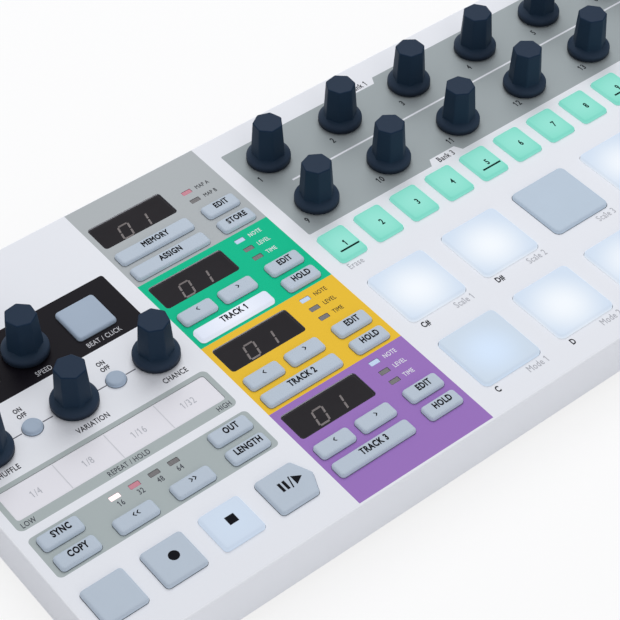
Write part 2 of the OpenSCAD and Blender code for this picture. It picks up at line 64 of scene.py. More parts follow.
# The photograph's view
CAMERA_AT = Vector((-0.3505, -0.35245, 0.4860))
CAMERA_AIM = Vector((-0.0768, -0.00765, 0.0206))
CAMERA_ROLL = math.radians(-0.25)
CAMERA_LENS = 113.67


def on_panel(x, y):
    """A place in panel millimetres as a point on the panel's top."""
    return Vector((COLUMN_X + x * MM, FRONT_Y + y * MM, TOP_Z))


def panel_mm(point):
    """A point's place in panel millimetres."""
    return (point.x - COLUMN_X) / MM, (point.y - FRONT_Y) / MM


def tint(red, green, blue):
    """A colour as it shows on screen, 0 to 255, as the linear colour that shaders take."""
    def linear(value):
        value /= 255
        return value / 12.92 if value <= 0.04045 else ((value + 0.055) / 1.055) ** 2.4
    return linear(red), linear(green), linear(blue), 1.0


def scaled(colour, share):
    """A colour dimmed to a share of its light."""
    return tuple(value * share for value in colour[:3]) + (1.0,)


WHITE = tint(255, 255, 255)
SHELL_WHITE = tint(228, 230, 235)
ZONE_GREY = tint(172, 177, 179)
FIELD_GREY = tint(158, 166, 168)
BAR_GREY = tint(167, 176, 176)
GREEN = tint(3, 184, 138)
YELLOW = tint(230, 187, 52)
PURPLE = tint(151, 113, 184)
BLACK = tint(20, 18, 24)
WALL_WHITE = tint(205, 205, 211)
# Painted light: the cover's outer walls, paler than its top.
OUTER_PAINTED_LIGHT_WHITE = tint(238, 240, 244)
# Painted shade: the walls inside the cover's outline, such as those of its openings.
GAP_PAINTED_SHADE = tint(120, 120, 127)
STRIP_WALL = tint(150, 156, 157)
KNOB_SLATE = tint(26, 45, 64)
# Painted light: the knob's skirt, paler than its grip.
SKIRT_PAINTED_LIGHT_SLATE = tint(40, 52, 69)
# Painted shade: the knob's flat top, darker than its grip.
CROWN_PAINTED_SHADE_SLATE = tint(7, 33, 56)


class Wire:
    """A node's output that works in plain arithmetic: each operation adds its Math node."""

    def __init__(self, bench, socket):
        self.bench = bench
        self.socket = socket

    def math(self, operation, *values):
        return self.bench.add("ShaderNodeMath", {"operation": operation}, dict(enumerate(values)))

    def __add__(self, other):
        return self.math("ADD", self, other)

    def __sub__(self, other):
        return self.math("SUBTRACT", self, other)

    def __rsub__(self, other):
        return self.math("SUBTRACT", other, self)

    def __mul__(self, other):
        return self.math("MULTIPLY", self, other)

    def __truediv__(self, other):
        return self.math("DIVIDE", self, other)

    def __pow__(self, other):
        return self.math("POWER", self, other)

    def __gt__(self, other):
        return self.math("GREATER_THAN", self, other)

    def __abs__(self):
        return self.math("ABSOLUTE", self)

    __radd__ = __add__
    __rmul__ = __mul__

    def most(self, other):
        return self.math("MAXIMUM", self, other)

    def least(self, other):
        return self.math("MINIMUM", self, other)

    def root(self):
        return self.math("SQRT", self)

    def clipped(self):
        return self.bench.add("ShaderNodeClamp", {}, {"Value": self})


class Bench:
    """A node tree being wired."""

    def __init__(self, tree):
        self.tree = tree

    def add(self, kind, settings=None, sockets=None, out=0):
        """Makes a node from its type, its settings and the values or links of its sockets."""
        node = self.tree.nodes.new(kind)
        for name, value in (settings or {}).items():
            setattr(node, name, value)
        for name, value in (sockets or {}).items():
            for item in value if isinstance(value, list) else [value]:
                self.plug(item, node.inputs[name])
        return Wire(self, node.outputs[out]) if node.outputs else node

    def plug(self, value, socket):
        if isinstance(value, Wire):
            self.tree.links.new(value.socket, socket)
        else:
            socket.default_value = value

    def blend(self, share, under, over):
        """A colour that goes from under to over as share goes from 0 to 1."""
        sockets = {"Factor": share, 6: under, 7: over}
        return self.add("ShaderNodeMix", {"data_type": "RGBA"}, sockets, out=2)

    def noise(self, place, scale, detail=2.0):
        return self.add("ShaderNodeTexNoise", {}, {"Vector": place, "Scale": scale, "Detail": detail})

    def bump(self, height, strength, distance):
        sockets = {"Height": height, "Strength": strength, "Distance": distance}
        return self.add("ShaderNodeBump", {}, sockets)

    def place(self):
        """Object coordinates, which are the part's own frame."""
        return self.add("ShaderNodeTexCoord", out=3)

    def axes(self, vector):
        node = self.add("ShaderNodeSeparateXYZ", {}, {0: vector}).socket.node
        return [Wire(self, socket) for socket in node.outputs]


# Materials

def finish_of(name, wire_up, **sockets):
    """A material with a Principled surface; wire_up links what varies over the surface."""
    material = bpy.data.materials.new(name)
    material.use_nodes = True
    bench = Bench(material.node_tree)
    surface = material.node_tree.nodes["Principled BSDF"]
    for socket, value in sockets.items():
        surface.inputs[socket.replace("_", " ")].default_value = value
    for socket, value in wire_up(bench).items():
        bench.plug(value, surface.inputs[socket])
    return material


def mottled(bench, place, colour, scale, share):
    """A colour that drifts a little, as pigment in a moulding does."""
    return bench.blend(bench.noise(place, scale), scaled(colour, 1 - share), colour)


def grained(bench, place, roughness, spread, grain, detail, relief, depth):
    """Gloss and relief that vary together over a fine surface grain."""
    fine = bench.noise(place, grain, detail)
    return {"Roughness": roughness + spread * (fine - 0.5), "Normal": bench.bump(fine, relief, depth)}


def moulded(name, colour, roughness, grain=1500.0, relief=0.25, mottle=0.06, **sockets):
    """Moulded or painted stock: a fine surface grain, uneven gloss and a slight drift of colour."""
    def wire_up(bench):
        place = bench.place()
        surface = grained(bench, place, roughness, spread=0.12, grain=grain, detail=3.0, relief=relief,
                          depth=0.05 * MM)
        return {"Base Color": mottled(bench, place, colour, scale=60.0, share=mottle), **surface}
    return finish_of(name, wire_up, **sockets)


INK_EDGE = 0.06


def rectangle(x, y, low, high, corner=0.0):
    """Share of ink in a printed rectangle with round corners, in panel millimetres."""
    beyond_x = abs(x - (low[0] + high[0]) / 2) - ((high[0] - low[0]) / 2 - corner)
    beyond_y = abs(y - (low[1] + high[1]) / 2) - ((high[1] - low[1]) / 2 - corner)
    if corner:
        beyond = (beyond_x.most(0.0) ** 2 + beyond_y.most(0.0) ** 2).root() - corner
    else:
        beyond = beyond_x.most(beyond_y)
    return (0.5 - beyond / INK_EDGE).clipped()


# Printed fields, each from its front left to its back right corner, and the radii of their corners
COLUMN = (0.0, FRONT_EDGE + 1.0), (54.0, BACK_EDGE - 0.55)
ZONE_EDGES = (43.8, 79.4, 114.9)
FIELD = (59.9, 98.6), (312.6, 148.9)
TAB_MIDDLES = (122.3, 252.3)
TAB_HALF, TAB_DEPTH, TAB_SLOPE = 7.3, 3.1, 0.52
TEMPO_BOX = (-85.4, 100.4), (-5.85, 127.1)
STRIP_FRAME = (-85.4, 53.7), (-4.3, 71.9)
STRIP_FACE = (-83.5, 57.8), (-6.2, 70.1)
KEY_BAR = (-85.4, 32.5), (-4.3, 50.4)
FIELD_CORNER, TEMPO_CORNER, FRAME_CORNER, FACE_CORNER, BAR_CORNER = 0.7, 1.0, 2.2, 1.2, 1.8
FAR_WALL = 0.5
OUTER_WALL, OUTER_CORNER = 1.0, 2.0
PRINT_DEPTH = 0.03 * MM
SHELL_DRIFT = 18.0, 0.02


def cover_finish():
    """The white moulding, with its printed fields on the flat top only. Painted light makes its outer walls
    paler than the top; painted shade greys the walls inside, but for the windows' far walls, which stay
    white, and the strip's recess walls, which are grey.
    """
    def wire_up(bench):
        place = bench.place()
        across, along, height = bench.axes(place)
        x = (across - COLUMN_X) / MM
        y = (along - FRONT_Y) / MM
        printed_top = height > TOP_Z - PRINT_DEPTH
        # Painted shade: inside the outer walls, all but the printed top is grey.
        inside = rectangle(x, y, (LEFT_EDGE + OUTER_WALL, FRONT_EDGE + OUTER_WALL),
                           (RIGHT_EDGE - OUTER_WALL, BACK_EDGE - OUTER_WALL), corner=OUTER_CORNER)
        # Painted light: the outer walls are a paler white than the top.
        colour = bench.blend(inside, mottled(bench, place, OUTER_PAINTED_LIGHT_WHITE, *SHELL_DRIFT), GAP_PAINTED_SHADE)
        for box in top_boxes("display_windows"):
            low, high = (panel_mm(corner) for corner in box)
            far_wall = rectangle(x, y, (low[0] - FAR_WALL, high[1] - FAR_WALL),
                                 (high[0] - FAR_WALL, high[1] + FAR_WALL))
            colour = bench.blend(far_wall, colour, WALL_WHITE)
        colour = bench.blend(rectangle(x, y, *STRIP_FRAME), colour, STRIP_WALL)
        colour = bench.blend(printed_top, colour, mottled(bench, place, SHELL_WHITE, *SHELL_DRIFT))
        zone = PURPLE
        for edge, shade in zip(ZONE_EDGES, (YELLOW, GREEN, ZONE_GREY)):
            zone = bench.blend(y > edge, zone, shade)
        field = rectangle(x, y, *FIELD, corner=FIELD_CORNER)
        for middle in TAB_MIDDLES:
            from_edge = (y - FIELD[0][1]).least(FIELD[1][1] - y)
            tab = (TAB_HALF - TAB_SLOPE * from_edge - abs(x - middle)).least(TAB_DEPTH - from_edge)
            field = field * (1 - (0.5 + tab / INK_EDGE).clipped())
        strip_face = rectangle(x, y, *STRIP_FACE, corner=FACE_CORNER)
        strip_ring = rectangle(x, y, *STRIP_FRAME, corner=FRAME_CORNER) - strip_face
        key_bar = rectangle(x, y, *KEY_BAR, corner=BAR_CORNER)
        for ink, shade in ((rectangle(x, y, *COLUMN), zone), (field, FIELD_GREY),
                           (strip_ring.clipped(), BAR_GREY), (key_bar, BAR_GREY)):
            colour = bench.blend(ink * printed_top, colour, shade)
        colour = bench.blend(rectangle(x, y, *TEMPO_BOX, corner=TEMPO_CORNER), colour, BLACK)
        surface = grained(bench, place, 0.46, spread=0.1, grain=1800.0, detail=3.0, relief=0.12,
                          depth=0.04 * MM)
        return {"Base Color": colour, **surface}
    return finish_of("white moulding with printed fields", wire_up, Specular_IOR_Level=0.04)


# Shares of light in silicone, with the painted glow on an unlit key's sides and the painted shade at its
# foot, which a lit key mostly loses; and the heights of its sides and its foot, from the key's top
BODY_SHARE, SIDE_PAINTED_GLOW, LIT_SIDE = 0.3, 0.24, 0.36
KEY_SIDE = 1.2 * MM
FOOT_TOP, FOOT_FADE = -1.0 * MM, 0.35 * MM
FOOT_PAINTED_SHADE, LIT_KEY_SHADE_CUT = 0.5, 0.92
BLACK_OUT = (0.0, 0.0, 0.0, 1.0)


def lit_silicone(name, unlit, lit, core, reach, lamp_at=(0.0, 0.0)):
    """Translucent silicone over a lamp: the glow attribute says how bright, from the middle out. An unlit
    key's sides carry a faint painted glow, and every key's foot a painted shade.
    """
    def wire_up(bench):
        place = bench.place()
        local = bench.add("ShaderNodeAttribute", {"attribute_name": "from_middle"}, out=1)
        glow = bench.add("ShaderNodeAttribute", {"attribute_name": "glow"}, out=2)
        x, y, z = bench.axes(local)
        x, y = x - lamp_at[0], y - lamp_at[1]
        away = ((x * x + y * y).root() / reach).clipped()
        hot = (1 - away * away) ** 2
        side = (z / -KEY_SIDE).clipped()
        # Painted shade at each key's foot, which dims its colour and puts out its glow; a lit key keeps
        # little of it.
        foot = ((FOOT_TOP - z) / FOOT_FADE).clipped() * (1 - LIT_KEY_SHADE_CUT * glow)
        light = bench.blend(hot, scaled(lit, 1 - BODY_SHARE), scaled(core, 1 - BODY_SHARE))
        light = bench.blend(side * LIT_SIDE, light, core)
        dull = mottled(bench, place, unlit, scale=90.0, share=0.05)
        body = bench.blend(glow, dull, scaled(lit, BODY_SHARE))
        # Painted light: an unlit key's sides glow faintly.
        shine = bench.blend(glow, bench.blend(side, BLACK_OUT, scaled(unlit, SIDE_PAINTED_GLOW)), light)
        surface = grained(bench, place, 0.5, spread=0.14, grain=2200.0, detail=2.0, relief=0.15,
                          depth=0.03 * MM)
        return {"Base Color": bench.blend(foot, body, scaled(unlit, FOOT_PAINTED_SHADE)),
                "Emission Color": bench.blend(foot, shine, BLACK_OUT), **surface}
    return finish_of(name, wire_up, Emission_Strength=1.0, Specular_IOR_Level=0.2)


# Heights over the panel where a knob's painted light and shade change
SKIRT_RIM, SKIRT_TOP, GRIP_TOP = 2.4 * MM, 4.2 * MM, 17.1 * MM
RIM_SHADE = 0.4


def knob_rubber():
    """Slate rubber with a fine grain; painted light makes the skirt paler, and painted shade darkens the
    skirt's foot and the flat top.
    """
    def wire_up(bench):
        place = bench.place()
        _, _, height = bench.axes(place)
        above = height - TOP_Z
        # Painted shade at the skirt's foot, fading into the skirt's painted light.
        skirt = bench.blend((above / SKIRT_RIM).clipped() ** 3, scaled(SKIRT_PAINTED_LIGHT_SLATE, RIM_SHADE), SKIRT_PAINTED_LIGHT_SLATE)
        grip = mottled(bench, place, KNOB_SLATE, scale=60.0, share=0.1)
        colour = bench.blend((above / SKIRT_TOP) ** 4, skirt, grip)
        # Painted shade on the flat top.
        colour = bench.blend(above > GRIP_TOP, colour, CROWN_PAINTED_SHADE_SLATE)
        surface = grained(bench, place, 0.55, spread=0.12, grain=2500.0, detail=3.0, relief=0.15,
                          depth=0.05 * MM)
        return {"Base Color": colour, **surface}
    return finish_of("slate knob rubber", wire_up, Specular_IOR_Level=0.13)


def lit_gloom(name, colour, light):
    """Dark parts under a window, with a faint, even painted glow in place of the light under the window."""
    def wire_up(bench):
        place = bench.place()
        return {"Base Color": mottled(bench, place, colour, scale=300.0, share=0.2),
                "Emission Color": mottled(bench, place, light, scale=300.0, share=0.08)}
    return finish_of(name, wire_up, Emission_Strength=1.0, Roughness=0.8, Specular_IOR_Level=0.0)


def lamp_glass(name, colour, light, strength):
    """A small frosted lens, a little uneven in its light."""
    def wire_up(bench):
        place = bench.place()
        frost = bench.noise(place, 3000.0)
        return {"Base Color": mottled(bench, place, colour, scale=400.0, share=0.2),
                "Emission Color": bench.blend(frost, scaled(light, 0.8), light),
                "Roughness": 0.3 + 0.2 * frost}
    return finish_of(name, wire_up, Emission_Strength=strength)


def smoked_film():
    """A smoked window: it only dims what lies under it, a little unevenly."""
    def wire_up(bench):
        smoke = bench.noise(bench.place(), 120.0)
        return {"Alpha": 0.28 + 0.06 * smoke}
    return finish_of("smoked window", wire_up, Base_Color=BLACK_OUT, Specular_IOR_Level=0.0)


def brushed(name, colour, roughness):
    """Plated metal with fine turning marks."""
    def wire_up(bench):
        place = bench.place()
        surface = grained(bench, place, roughness, spread=0.2, grain=1200.0, detail=4.0, relief=0.2,
                          depth=0.02 * MM)
        return {"Base Color": mottled(bench, place, colour, scale=200.0, share=0.15), **surface}
    return finish_of(name, wire_up, Metallic=1.0)


TRACK_FROM = 0.72


def solder_mask():
    """The board's green lacquer, with copper runs under it."""
    def wire_up(bench):
        sockets = {"Vector": bench.place(), "Scale": 60.0, "Distortion": 6.0, "Detail": 1.0}
        runs = bench.add("ShaderNodeTexWave", {"bands_direction": "DIAGONAL"}, sockets, out=1)
        track = runs > TRACK_FROM
        return {"Base Color": bench.blend(track, tint(12, 74, 44), tint(34, 110, 66)),
                "Roughness": 0.35 + 0.1 * track}
    return finish_of("green solder mask", wire_up)


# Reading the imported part

def islands(faces):
    """Groups of faces that share corners."""
    waiting = set(faces)
    groups = []
    while waiting:
        group = [waiting.pop()]
        for face in group:
            touching = {near for corner in face.verts for near in corner.link_faces} & waiting
            waiting -= touching
            group.extend(touching)
        groups.append(group)
    return groups


def spread_of(corners):
    """The lowest and highest corner of some points."""
    low = Vector([min(point[axis] for point in corners) for axis in range(3)])
    high = Vector([max(point[axis] for point in corners) for axis in range(3)])
    return low, high


def opened(mesh, near):
    """A mesh's faces to work on, with corners nearer than near made one."""
    work = bmesh.new()
    work.from_mesh(mesh)
    bmesh.ops.remove_doubles(work, verts=work.verts, dist=near)
    return work


def closed(work, mesh):
    """Writes the finished work to a mesh."""
    work.to_mesh(mesh)
    work.free()
    return mesh


def solids_of(node):
    """Boxes of a node's separate solids, front ones first, then from the left."""
    work = opened(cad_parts[node].data, SAME_POINT)
    boxes = [spread_of([c.co for face in group for c in face.verts]) for group in islands(work.faces)]
    work.free()
    return sorted(boxes, key=lambda box: (round(box[0].y, 4), box[0].x))


def tops_of(node):
    """The flat tops of a node, each as the list of its corner points, in the same order."""
    work = opened(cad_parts[node].data, SAME_POINT)
    high = max(corner.co.z for corner in work.verts)
    flat = [face for face in work.faces if all(c.co.z > high - SAME_PLANE for c in face.verts)]
    tops = [[c.co.copy() for c in {c for face in group for c in face.verts}] for group in islands(flat)]
    work.free()
    return sorted(tops, key=lambda top: (round(spread_of(top)[0].y, 4), spread_of(top)[0].x))


def top_boxes(node):
    """Boxes of a node's flat tops, in the same order."""
    return [spread_of(top) for top in tops_of(node)]


def box_outline(box):
    """A box's four corners, counter-clockwise."""
    low, high = box
    return [(low.x, low.y), (high.x, low.y), (high.x, high.y), (low.x, high.y)]


# Trees of Geometry Nodes

def new_tree(name, sizes):
    """A tree with a Geometry input, named inputs and a Finish, and its Geometry output."""
    tree = bpy.data.node_groups.new(name, "GeometryNodeTree")
    tree.interface.new_socket("Geometry", in_out="OUTPUT", socket_type="NodeSocketGeometry")
    tree.interface.new_socket("Geometry", in_out="INPUT", socket_type="NodeSocketGeometry")
    for size in sizes:
        kind = "NodeSocketVector" if size == "Centre" else "NodeSocketFloat"
        tree.interface.new_socket(size, in_out="INPUT", socket_type=kind)
    tree.interface.new_socket("Finish", in_out="INPUT", socket_type="NodeSocketMaterial")
    bench = Bench(tree)
    given = tree.nodes.new("NodeGroupInput")
    return bench, {socket.name: Wire(bench, socket) for socket in given.outputs if socket.name}


def close_tree(bench, shape, finish):
    """Ends a tree: real meshes only, smooth, with the finish on them."""
    shape = bench.add("GeometryNodeRealizeInstances", {}, {"Geometry": shape})
    shape = bench.add("GeometryNodeMergeByDistance", {}, {"Geometry": shape, "Distance": WELD})
    shape = bench.add("GeometryNodeSetShadeSmooth", {}, {"Geometry": shape})
    shape = bench.add("GeometryNodeSetMaterial", {}, {"Geometry": shape, "Material": finish})
    bench.add("NodeGroupOutput", {}, {0: shape})
    return bench.tree


def stacked(bench, outline, steps):
    """A closed stack on a filled outline: each step rises and then scales the top face."""
    plate = bench.add("GeometryNodeFillCurve", {"mode": "NGONS"}, {"Curve": outline})
    shape, top = plate, True
    for rise, scale in steps:
        extrude = bench.add("GeometryNodeExtrudeMesh", {},
                            {"Mesh": shape, "Selection": top, "Offset": (0.0, 0.0, 1.0),
                             "Offset Scale": rise, "Individual": False}).socket.node
        shape, top = Wire(bench, extrude.outputs["Mesh"]), Wire(bench, extrude.outputs["Top"])
        shape = bench.add("GeometryNodeScaleElements", {},
                          {"Geometry": shape, "Selection": top, "Scale": scale})
    base = bench.add("GeometryNodeFlipFaces", {}, {"Mesh": plate})
    whole = bench.add("GeometryNodeJoinGeometry", {}, {0: [base, shape]})
    return bench.add("GeometryNodeMergeByDistance", {}, {"Geometry": whole, "Distance": WELD})


def shared_out(rise, steps):
    """Steps of a stack whose rises are shares of one rise."""
    return [(rise * share, scale) for share, scale in steps]


def upright(bench, length):
    """A vector straight up."""
    return bench.add("ShaderNodeCombineXYZ", {}, {"Z": length})


def filleted(bench, outline, radius, count):
    """An outline with round corners, each with a count of points."""
    return bench.add("GeometryNodeFilletCurve", {"mode": "POLY"},
                     {"Curve": outline, "Count": count, "Radius": radius, "Limit Radius": True})


def ring(bench, sides, radius):
    return bench.add("GeometryNodeCurvePrimitiveCircle", {}, {"Resolution": sides, "Radius": radius})


def moved(bench, shape, by, turn=(0.0, 0.0, 0.0)):
    return bench.add("GeometryNodeTransform", {}, {"Geometry": shape, "Translation": by, "Rotation": turn})


CAP_CORNER_POINTS, GRIP_CORNER_POINTS = 7, 4


def soft_cap_tree():
    """Keys and pads: closed outlines on the floor plane become slabs with round corners."""
    bench, given = new_tree("soft caps", ("Corner", "Low", "Rise"))
    outline = bench.add("GeometryNodeMeshToCurve", {}, {"Mesh": given["Geometry"]})
    outline = filleted(bench, outline, given["Corner"], CAP_CORNER_POINTS)
    slab = stacked(bench, outline, [(given["Rise"], 1.0)])
    return close_tree(bench, moved(bench, slab, upright(bench, given["Low"])), given["Finish"])


def one_on_each(bench, given, thing, tilt):
    """Ends a tree: a copy of a thing on each point of the blank, tilted about the part's x."""
    facing = bench.add("FunctionNodeEulerToRotation", {}, {0: (tilt, 0.0, 0.0)})
    copies = bench.add("GeometryNodeInstanceOnPoints", {},
                       {"Points": given["Geometry"], "Instance": thing, "Rotation": facing})
    return close_tree(bench, copies, given["Finish"])


BACKWARDS, DOWNWARDS = -math.pi / 2, math.pi

# Steps of stacks: the share of the rise, and how far each one narrows. A knob's flare ends on the
# grip's foot with a last step, after the others have narrowed it.
GRIP_SIDES, SKIRT_SIDES = 7, 64
CONE_STEPS = (0.25, 0.956), (0.29, 0.914), (0.24, 0.9), (0.22, 0.84)
FLARE_STEPS = (0.43, 0.917), (0.27, 0.958)
FLARE_LAST, FLARE_NARROWED = 0.3, 0.8785
HEAD_STEPS = (0.6, 1.0), (0.3, 0.9), (0.1, 0.8)
SOLE_STEPS = (0.75, 0.95), (0.25, 0.9), (0.0, 0.8), (-0.2, 0.9)


def knob_tree():
    """A knob: a round skirt with a cone, and a tapered grip whose flats run out on it in a flare."""
    sizes = ("Skirt", "Rim", "Cone", "Flare", "Run", "Foot", "Top", "Height", "Edge", "Turn", "Centre")
    bench, given = new_tree("knob", sizes)
    skirt = stacked(bench, ring(bench, SKIRT_SIDES, given["Skirt"]),
                    [(given["Rim"], 1.0)] + shared_out(given["Cone"], CONE_STEPS))
    flats = filleted(bench, ring(bench, GRIP_SIDES, given["Flare"]), given["Edge"], GRIP_CORNER_POINTS)
    grip_rise = given["Height"] - given["Rim"] - given["Run"]
    flare = shared_out(given["Run"], FLARE_STEPS)
    flare.append((given["Run"] * FLARE_LAST, given["Foot"] / (given["Flare"] * FLARE_NARROWED)))
    grip = stacked(bench, flats, flare + [(grip_rise, given["Top"] / given["Foot"])])
    turn = bench.add("FunctionNodeEulerToRotation", {}, {0: upright(bench, given["Turn"])})
    grip = moved(bench, grip, upright(bench, given["Rim"]), turn)
    whole = bench.add("GeometryNodeMeshBoolean", {"operation": "UNION", "solver": "EXACT"},
                      {"Mesh 2": [skirt, grip]})
    return close_tree(bench, moved(bench, whole, given["Centre"]), given["Finish"])


KNURL_POINTS, TOOTH_POINTS, TOOTH_DEPTH, BORE_SIDES = 72, 3.0, 0.05, 40


def ring_nut_tree():
    """Ring nuts with a knurled rim, one on each point, facing the back."""
    bench, given = new_tree("ring nuts", ("Outer", "Inner", "Thick"))
    knurl = ring(bench, KNURL_POINTS, given["Outer"])
    index = bench.add("GeometryNodeInputIndex")
    tooth = 1 - TOOTH_DEPTH * (index.math("MODULO", index, TOOTH_POINTS) > TOOTH_POINTS / 2)
    toothed = bench.add("ShaderNodeVectorMath", {"operation": "SCALE"},
                        {0: bench.add("GeometryNodeInputPosition"), "Scale": tooth})
    knurl = bench.add("GeometryNodeSetPosition", {}, {"Geometry": knurl, "Position": toothed})
    outline = bench.add("GeometryNodeJoinGeometry", {}, {0: [knurl, ring(bench, BORE_SIDES, given["Inner"])]})
    nut = stacked(bench, outline, [(given["Thick"], 1.0)])
    return one_on_each(bench, given, nut, BACKWARDS)


HEAD_SIDES, SHANK_SIDES, SOCKET_SIDES = 32, 16, 6
SOCKET_WIDTH, SOCKET_TAPER, SOCKET_FLOOR = 0.42, 0.96, 0.4


def screw_tree():
    """Pan-head screws, one on each point, head down, with a hexagon socket."""
    bench, given = new_tree("screws", ("Head", "Thick", "Shank", "Length"))
    head = stacked(bench, ring(bench, HEAD_SIDES, given["Head"]), shared_out(given["Thick"], HEAD_STEPS))
    hexagon = ring(bench, SOCKET_SIDES, given["Head"] * SOCKET_WIDTH)
    socket = stacked(bench, hexagon, [(given["Thick"], SOCKET_TAPER)])
    socket = moved(bench, socket, upright(bench, given["Thick"] * SOCKET_FLOOR))
    head = bench.add("GeometryNodeMeshBoolean", {"operation": "DIFFERENCE", "solver": "EXACT"},
                     {"Mesh 1": head, "Mesh 2": socket})
    shank = stacked(bench, ring(bench, SHANK_SIDES, given["Shank"]), [(given["Length"], 1.0)])
    shank = moved(bench, shank, upright(bench, 0.0 - given["Length"]))
    screw = bench.add("GeometryNodeJoinGeometry", {}, {0: [head, shank]})
    return one_on_each(bench, given, screw, DOWNWARDS)


FOOT_SIDES = 48


def foot_tree():
    """Turned rubber feet, one on each point: a tapered puck with a dished sole."""
    bench, given = new_tree("rubber feet", ("Radius", "Height"))
    foot = stacked(bench, ring(bench, FOOT_SIDES, given["Radius"]), shared_out(given["Height"], SOLE_STEPS))
    return one_on_each(bench, given, foot, DOWNWARDS)


def placed(name, data):
    """A new object in the scene."""
    thing = bpy.data.objects.new(name, data)
    bpy.context.scene.collection.objects.link(thing)
    return thing


def grown(tree, blank, **sizes):
    """Runs a tree on a blank mesh and returns the result as a plain mesh."""
    host = placed("blank", blank)
    modifier = host.modifiers.new("grow", "NODES")
    modifier.node_group = tree
    for item in tree.interface.items_tree:
        if item.in_out == "INPUT" and item.name in sizes:
            modifier[item.identifier] = sizes[item.name]
    mesh = bpy.data.meshes.new_from_object(host.evaluated_get(bpy.context.evaluated_depsgraph_get()))
    bpy.data.objects.remove(host)
    mesh.materials.clear()
    mesh.materials.append(sizes["Finish"])
    return mesh


def loops(outlines):
    """A blank of closed outlines, each a list of points on the floor plane."""
    points = [(x, y, 0.0) for outline in outlines for x, y in outline]
    edges = []
    for outline in outlines:
        first = len(edges)
        edges += [(first + i, first + (i + 1) % len(outline)) for i in range(len(outline))]
    blank = bpy.data.meshes.new("outlines")
    blank.from_pydata(points, edges, [])
    return blank


def marks(points):
    """A blank of loose points."""
    blank = bpy.data.meshes.new("points")
    blank.from_pydata([tuple(point) for point in points], [], [])
    return blank


# Making pieces

SHARP_ANGLE = 0.6
ROUND_STEPS = 4
MANY_CORNERS = 12


def softened(mesh, edge, where=None):
    """Rounds the sharp edges of a mesh; where picks them by their middle point."""
    work = bmesh.new()
    work.from_mesh(mesh)
    chosen = [e for e in work.edges if len(e.link_faces) == 2 and e.calc_face_angle() > SHARP_ANGLE]
    if where:
        chosen = [e for e in chosen if where((e.verts[0].co + e.verts[1].co) / 2)]
    made = bmesh.ops.bevel(work, geom=chosen, offset=edge, segments=ROUND_STEPS, profile=0.5,
                           affect="EDGES", clamp_overlap=True, material=-1)
    rounds = set(made["faces"])
    wide = [face for face in work.faces if face not in rounds and len(face.verts) > MANY_CORNERS]
    bmesh.ops.inset_individual(work, faces=wide, thickness=edge / 2)
    for face in work.faces:
        face.smooth = True
    closed(work, mesh).set_sharp_from_angle(angle=SHARP_ANGLE)
    return mesh


def joined(name, meshes):
    """One mesh from several, keeping each one's material."""
    whole = bpy.data.meshes.new(name)
    work = bmesh.new()
    for mesh in meshes:
        offset = len(whole.materials)
        first = len(work.faces)
        for material in mesh.materials:
            whole.materials.append(material)
        work.from_mesh(mesh)
        work.faces.ensure_lookup_table()
        for face in work.faces[first:]:
            face.material_index += offset
    return closed(work, whole)


def piece(name, mesh, body, slot, *replaced):
    """A finished piece: it rides on a body and may stand for CAD nodes; the slot is not used."""
    mesh.name = name
    thing = placed(name, mesh)
    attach(thing, body)
    if replaced:
        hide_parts(*replaced)


def measured(mesh, boxes, glows):
    """Writes how far each point lies from its own key's middle, and how brightly that key glows."""
    middles = [(low + high) / 2 for low, high in boxes]
    halves = [(high - low) / 2 for low, high in boxes]

    def outside(point, i):
        beyond = point - middles[i]
        return max(abs(beyond.x) - halves[i].x, abs(beyond.y) - halves[i].y)

    away, glow = [], []
    for corner in mesh.vertices:
        own = min(range(len(boxes)), key=lambda i: outside(corner.co, i))
        away.extend(corner.co - middles[own])
        glow.append(glows[own])
    mesh.attributes.new("from_middle", "FLOAT_VECTOR", "POINT").data.foreach_set("vector", away)
    mesh.attributes.new("glow", "FLOAT", "POINT").data.foreach_set("value", glow)
    return mesh


# Lettering: plain words, numbers and signs, cut as flat ink

# A capital's height at size 1, the letters' width, the weights of strokes and the space between letters
LETTER_HEIGHT = 0.682
NARROW = 0.7
MEDIUM, BOLD = 0.01, 0.034
LETTER_SPACE, BOLD_SPACE = 1.08, 4.0
SAME_CORNER = 1e-5
CURVE_STEPS = 3
# A one is a tall, thin stroke. Its flag is in strokes: how far it reaches out, and how far its
# corners lie under the top.
ONE_TALL, ONE_THIN = 0.9 * LETTER_HEIGHT, 0.2 * LETTER_HEIGHT
FLAG_REACH, FLAG_TOP, FLAG_LOW, FLAG_ROOT = 1.3, 1.0, 2.1, 1.2
SIDES = {"left": "LEFT", "middle": "CENTER", "right": "RIGHT"}


def lettering(labels, ink):
    """Flat ink for labels given as (text, point, height in mm, side, weight)."""
    things = []
    for text, _, _, side, weight in labels:
        words = bpy.data.curves.new("words", "FONT")
        words.body = text
        words.align_x = SIDES[side]
        words.resolution_u = CURVE_STEPS
        words.space_character = LETTER_SPACE + BOLD_SPACE * max(weight - BOLD, 0.0)
        things.append(placed("words", words))
    ready = bpy.context.evaluated_depsgraph_get()
    work = bmesh.new()
    for thing, (text, point, height, _, weight) in zip(things, labels):
        flat = bpy.data.meshes.new_from_object(thing.evaluated_get(ready))
        if text[-1:].isdigit():
            flat = flagged(flat)
        flat = bolder(flat, weight)
        size = height * MM / LETTER_HEIGHT
        seat = point + Vector((0.0, -height * MM / 2, PRINT_LIFT))
        flat.transform(Matrix.Translation(seat) @ Matrix.Diagonal((size * NARROW, size, size, 1.0)))
        work.from_mesh(flat)
        bpy.data.objects.remove(thing)
    return inked(work, ink)


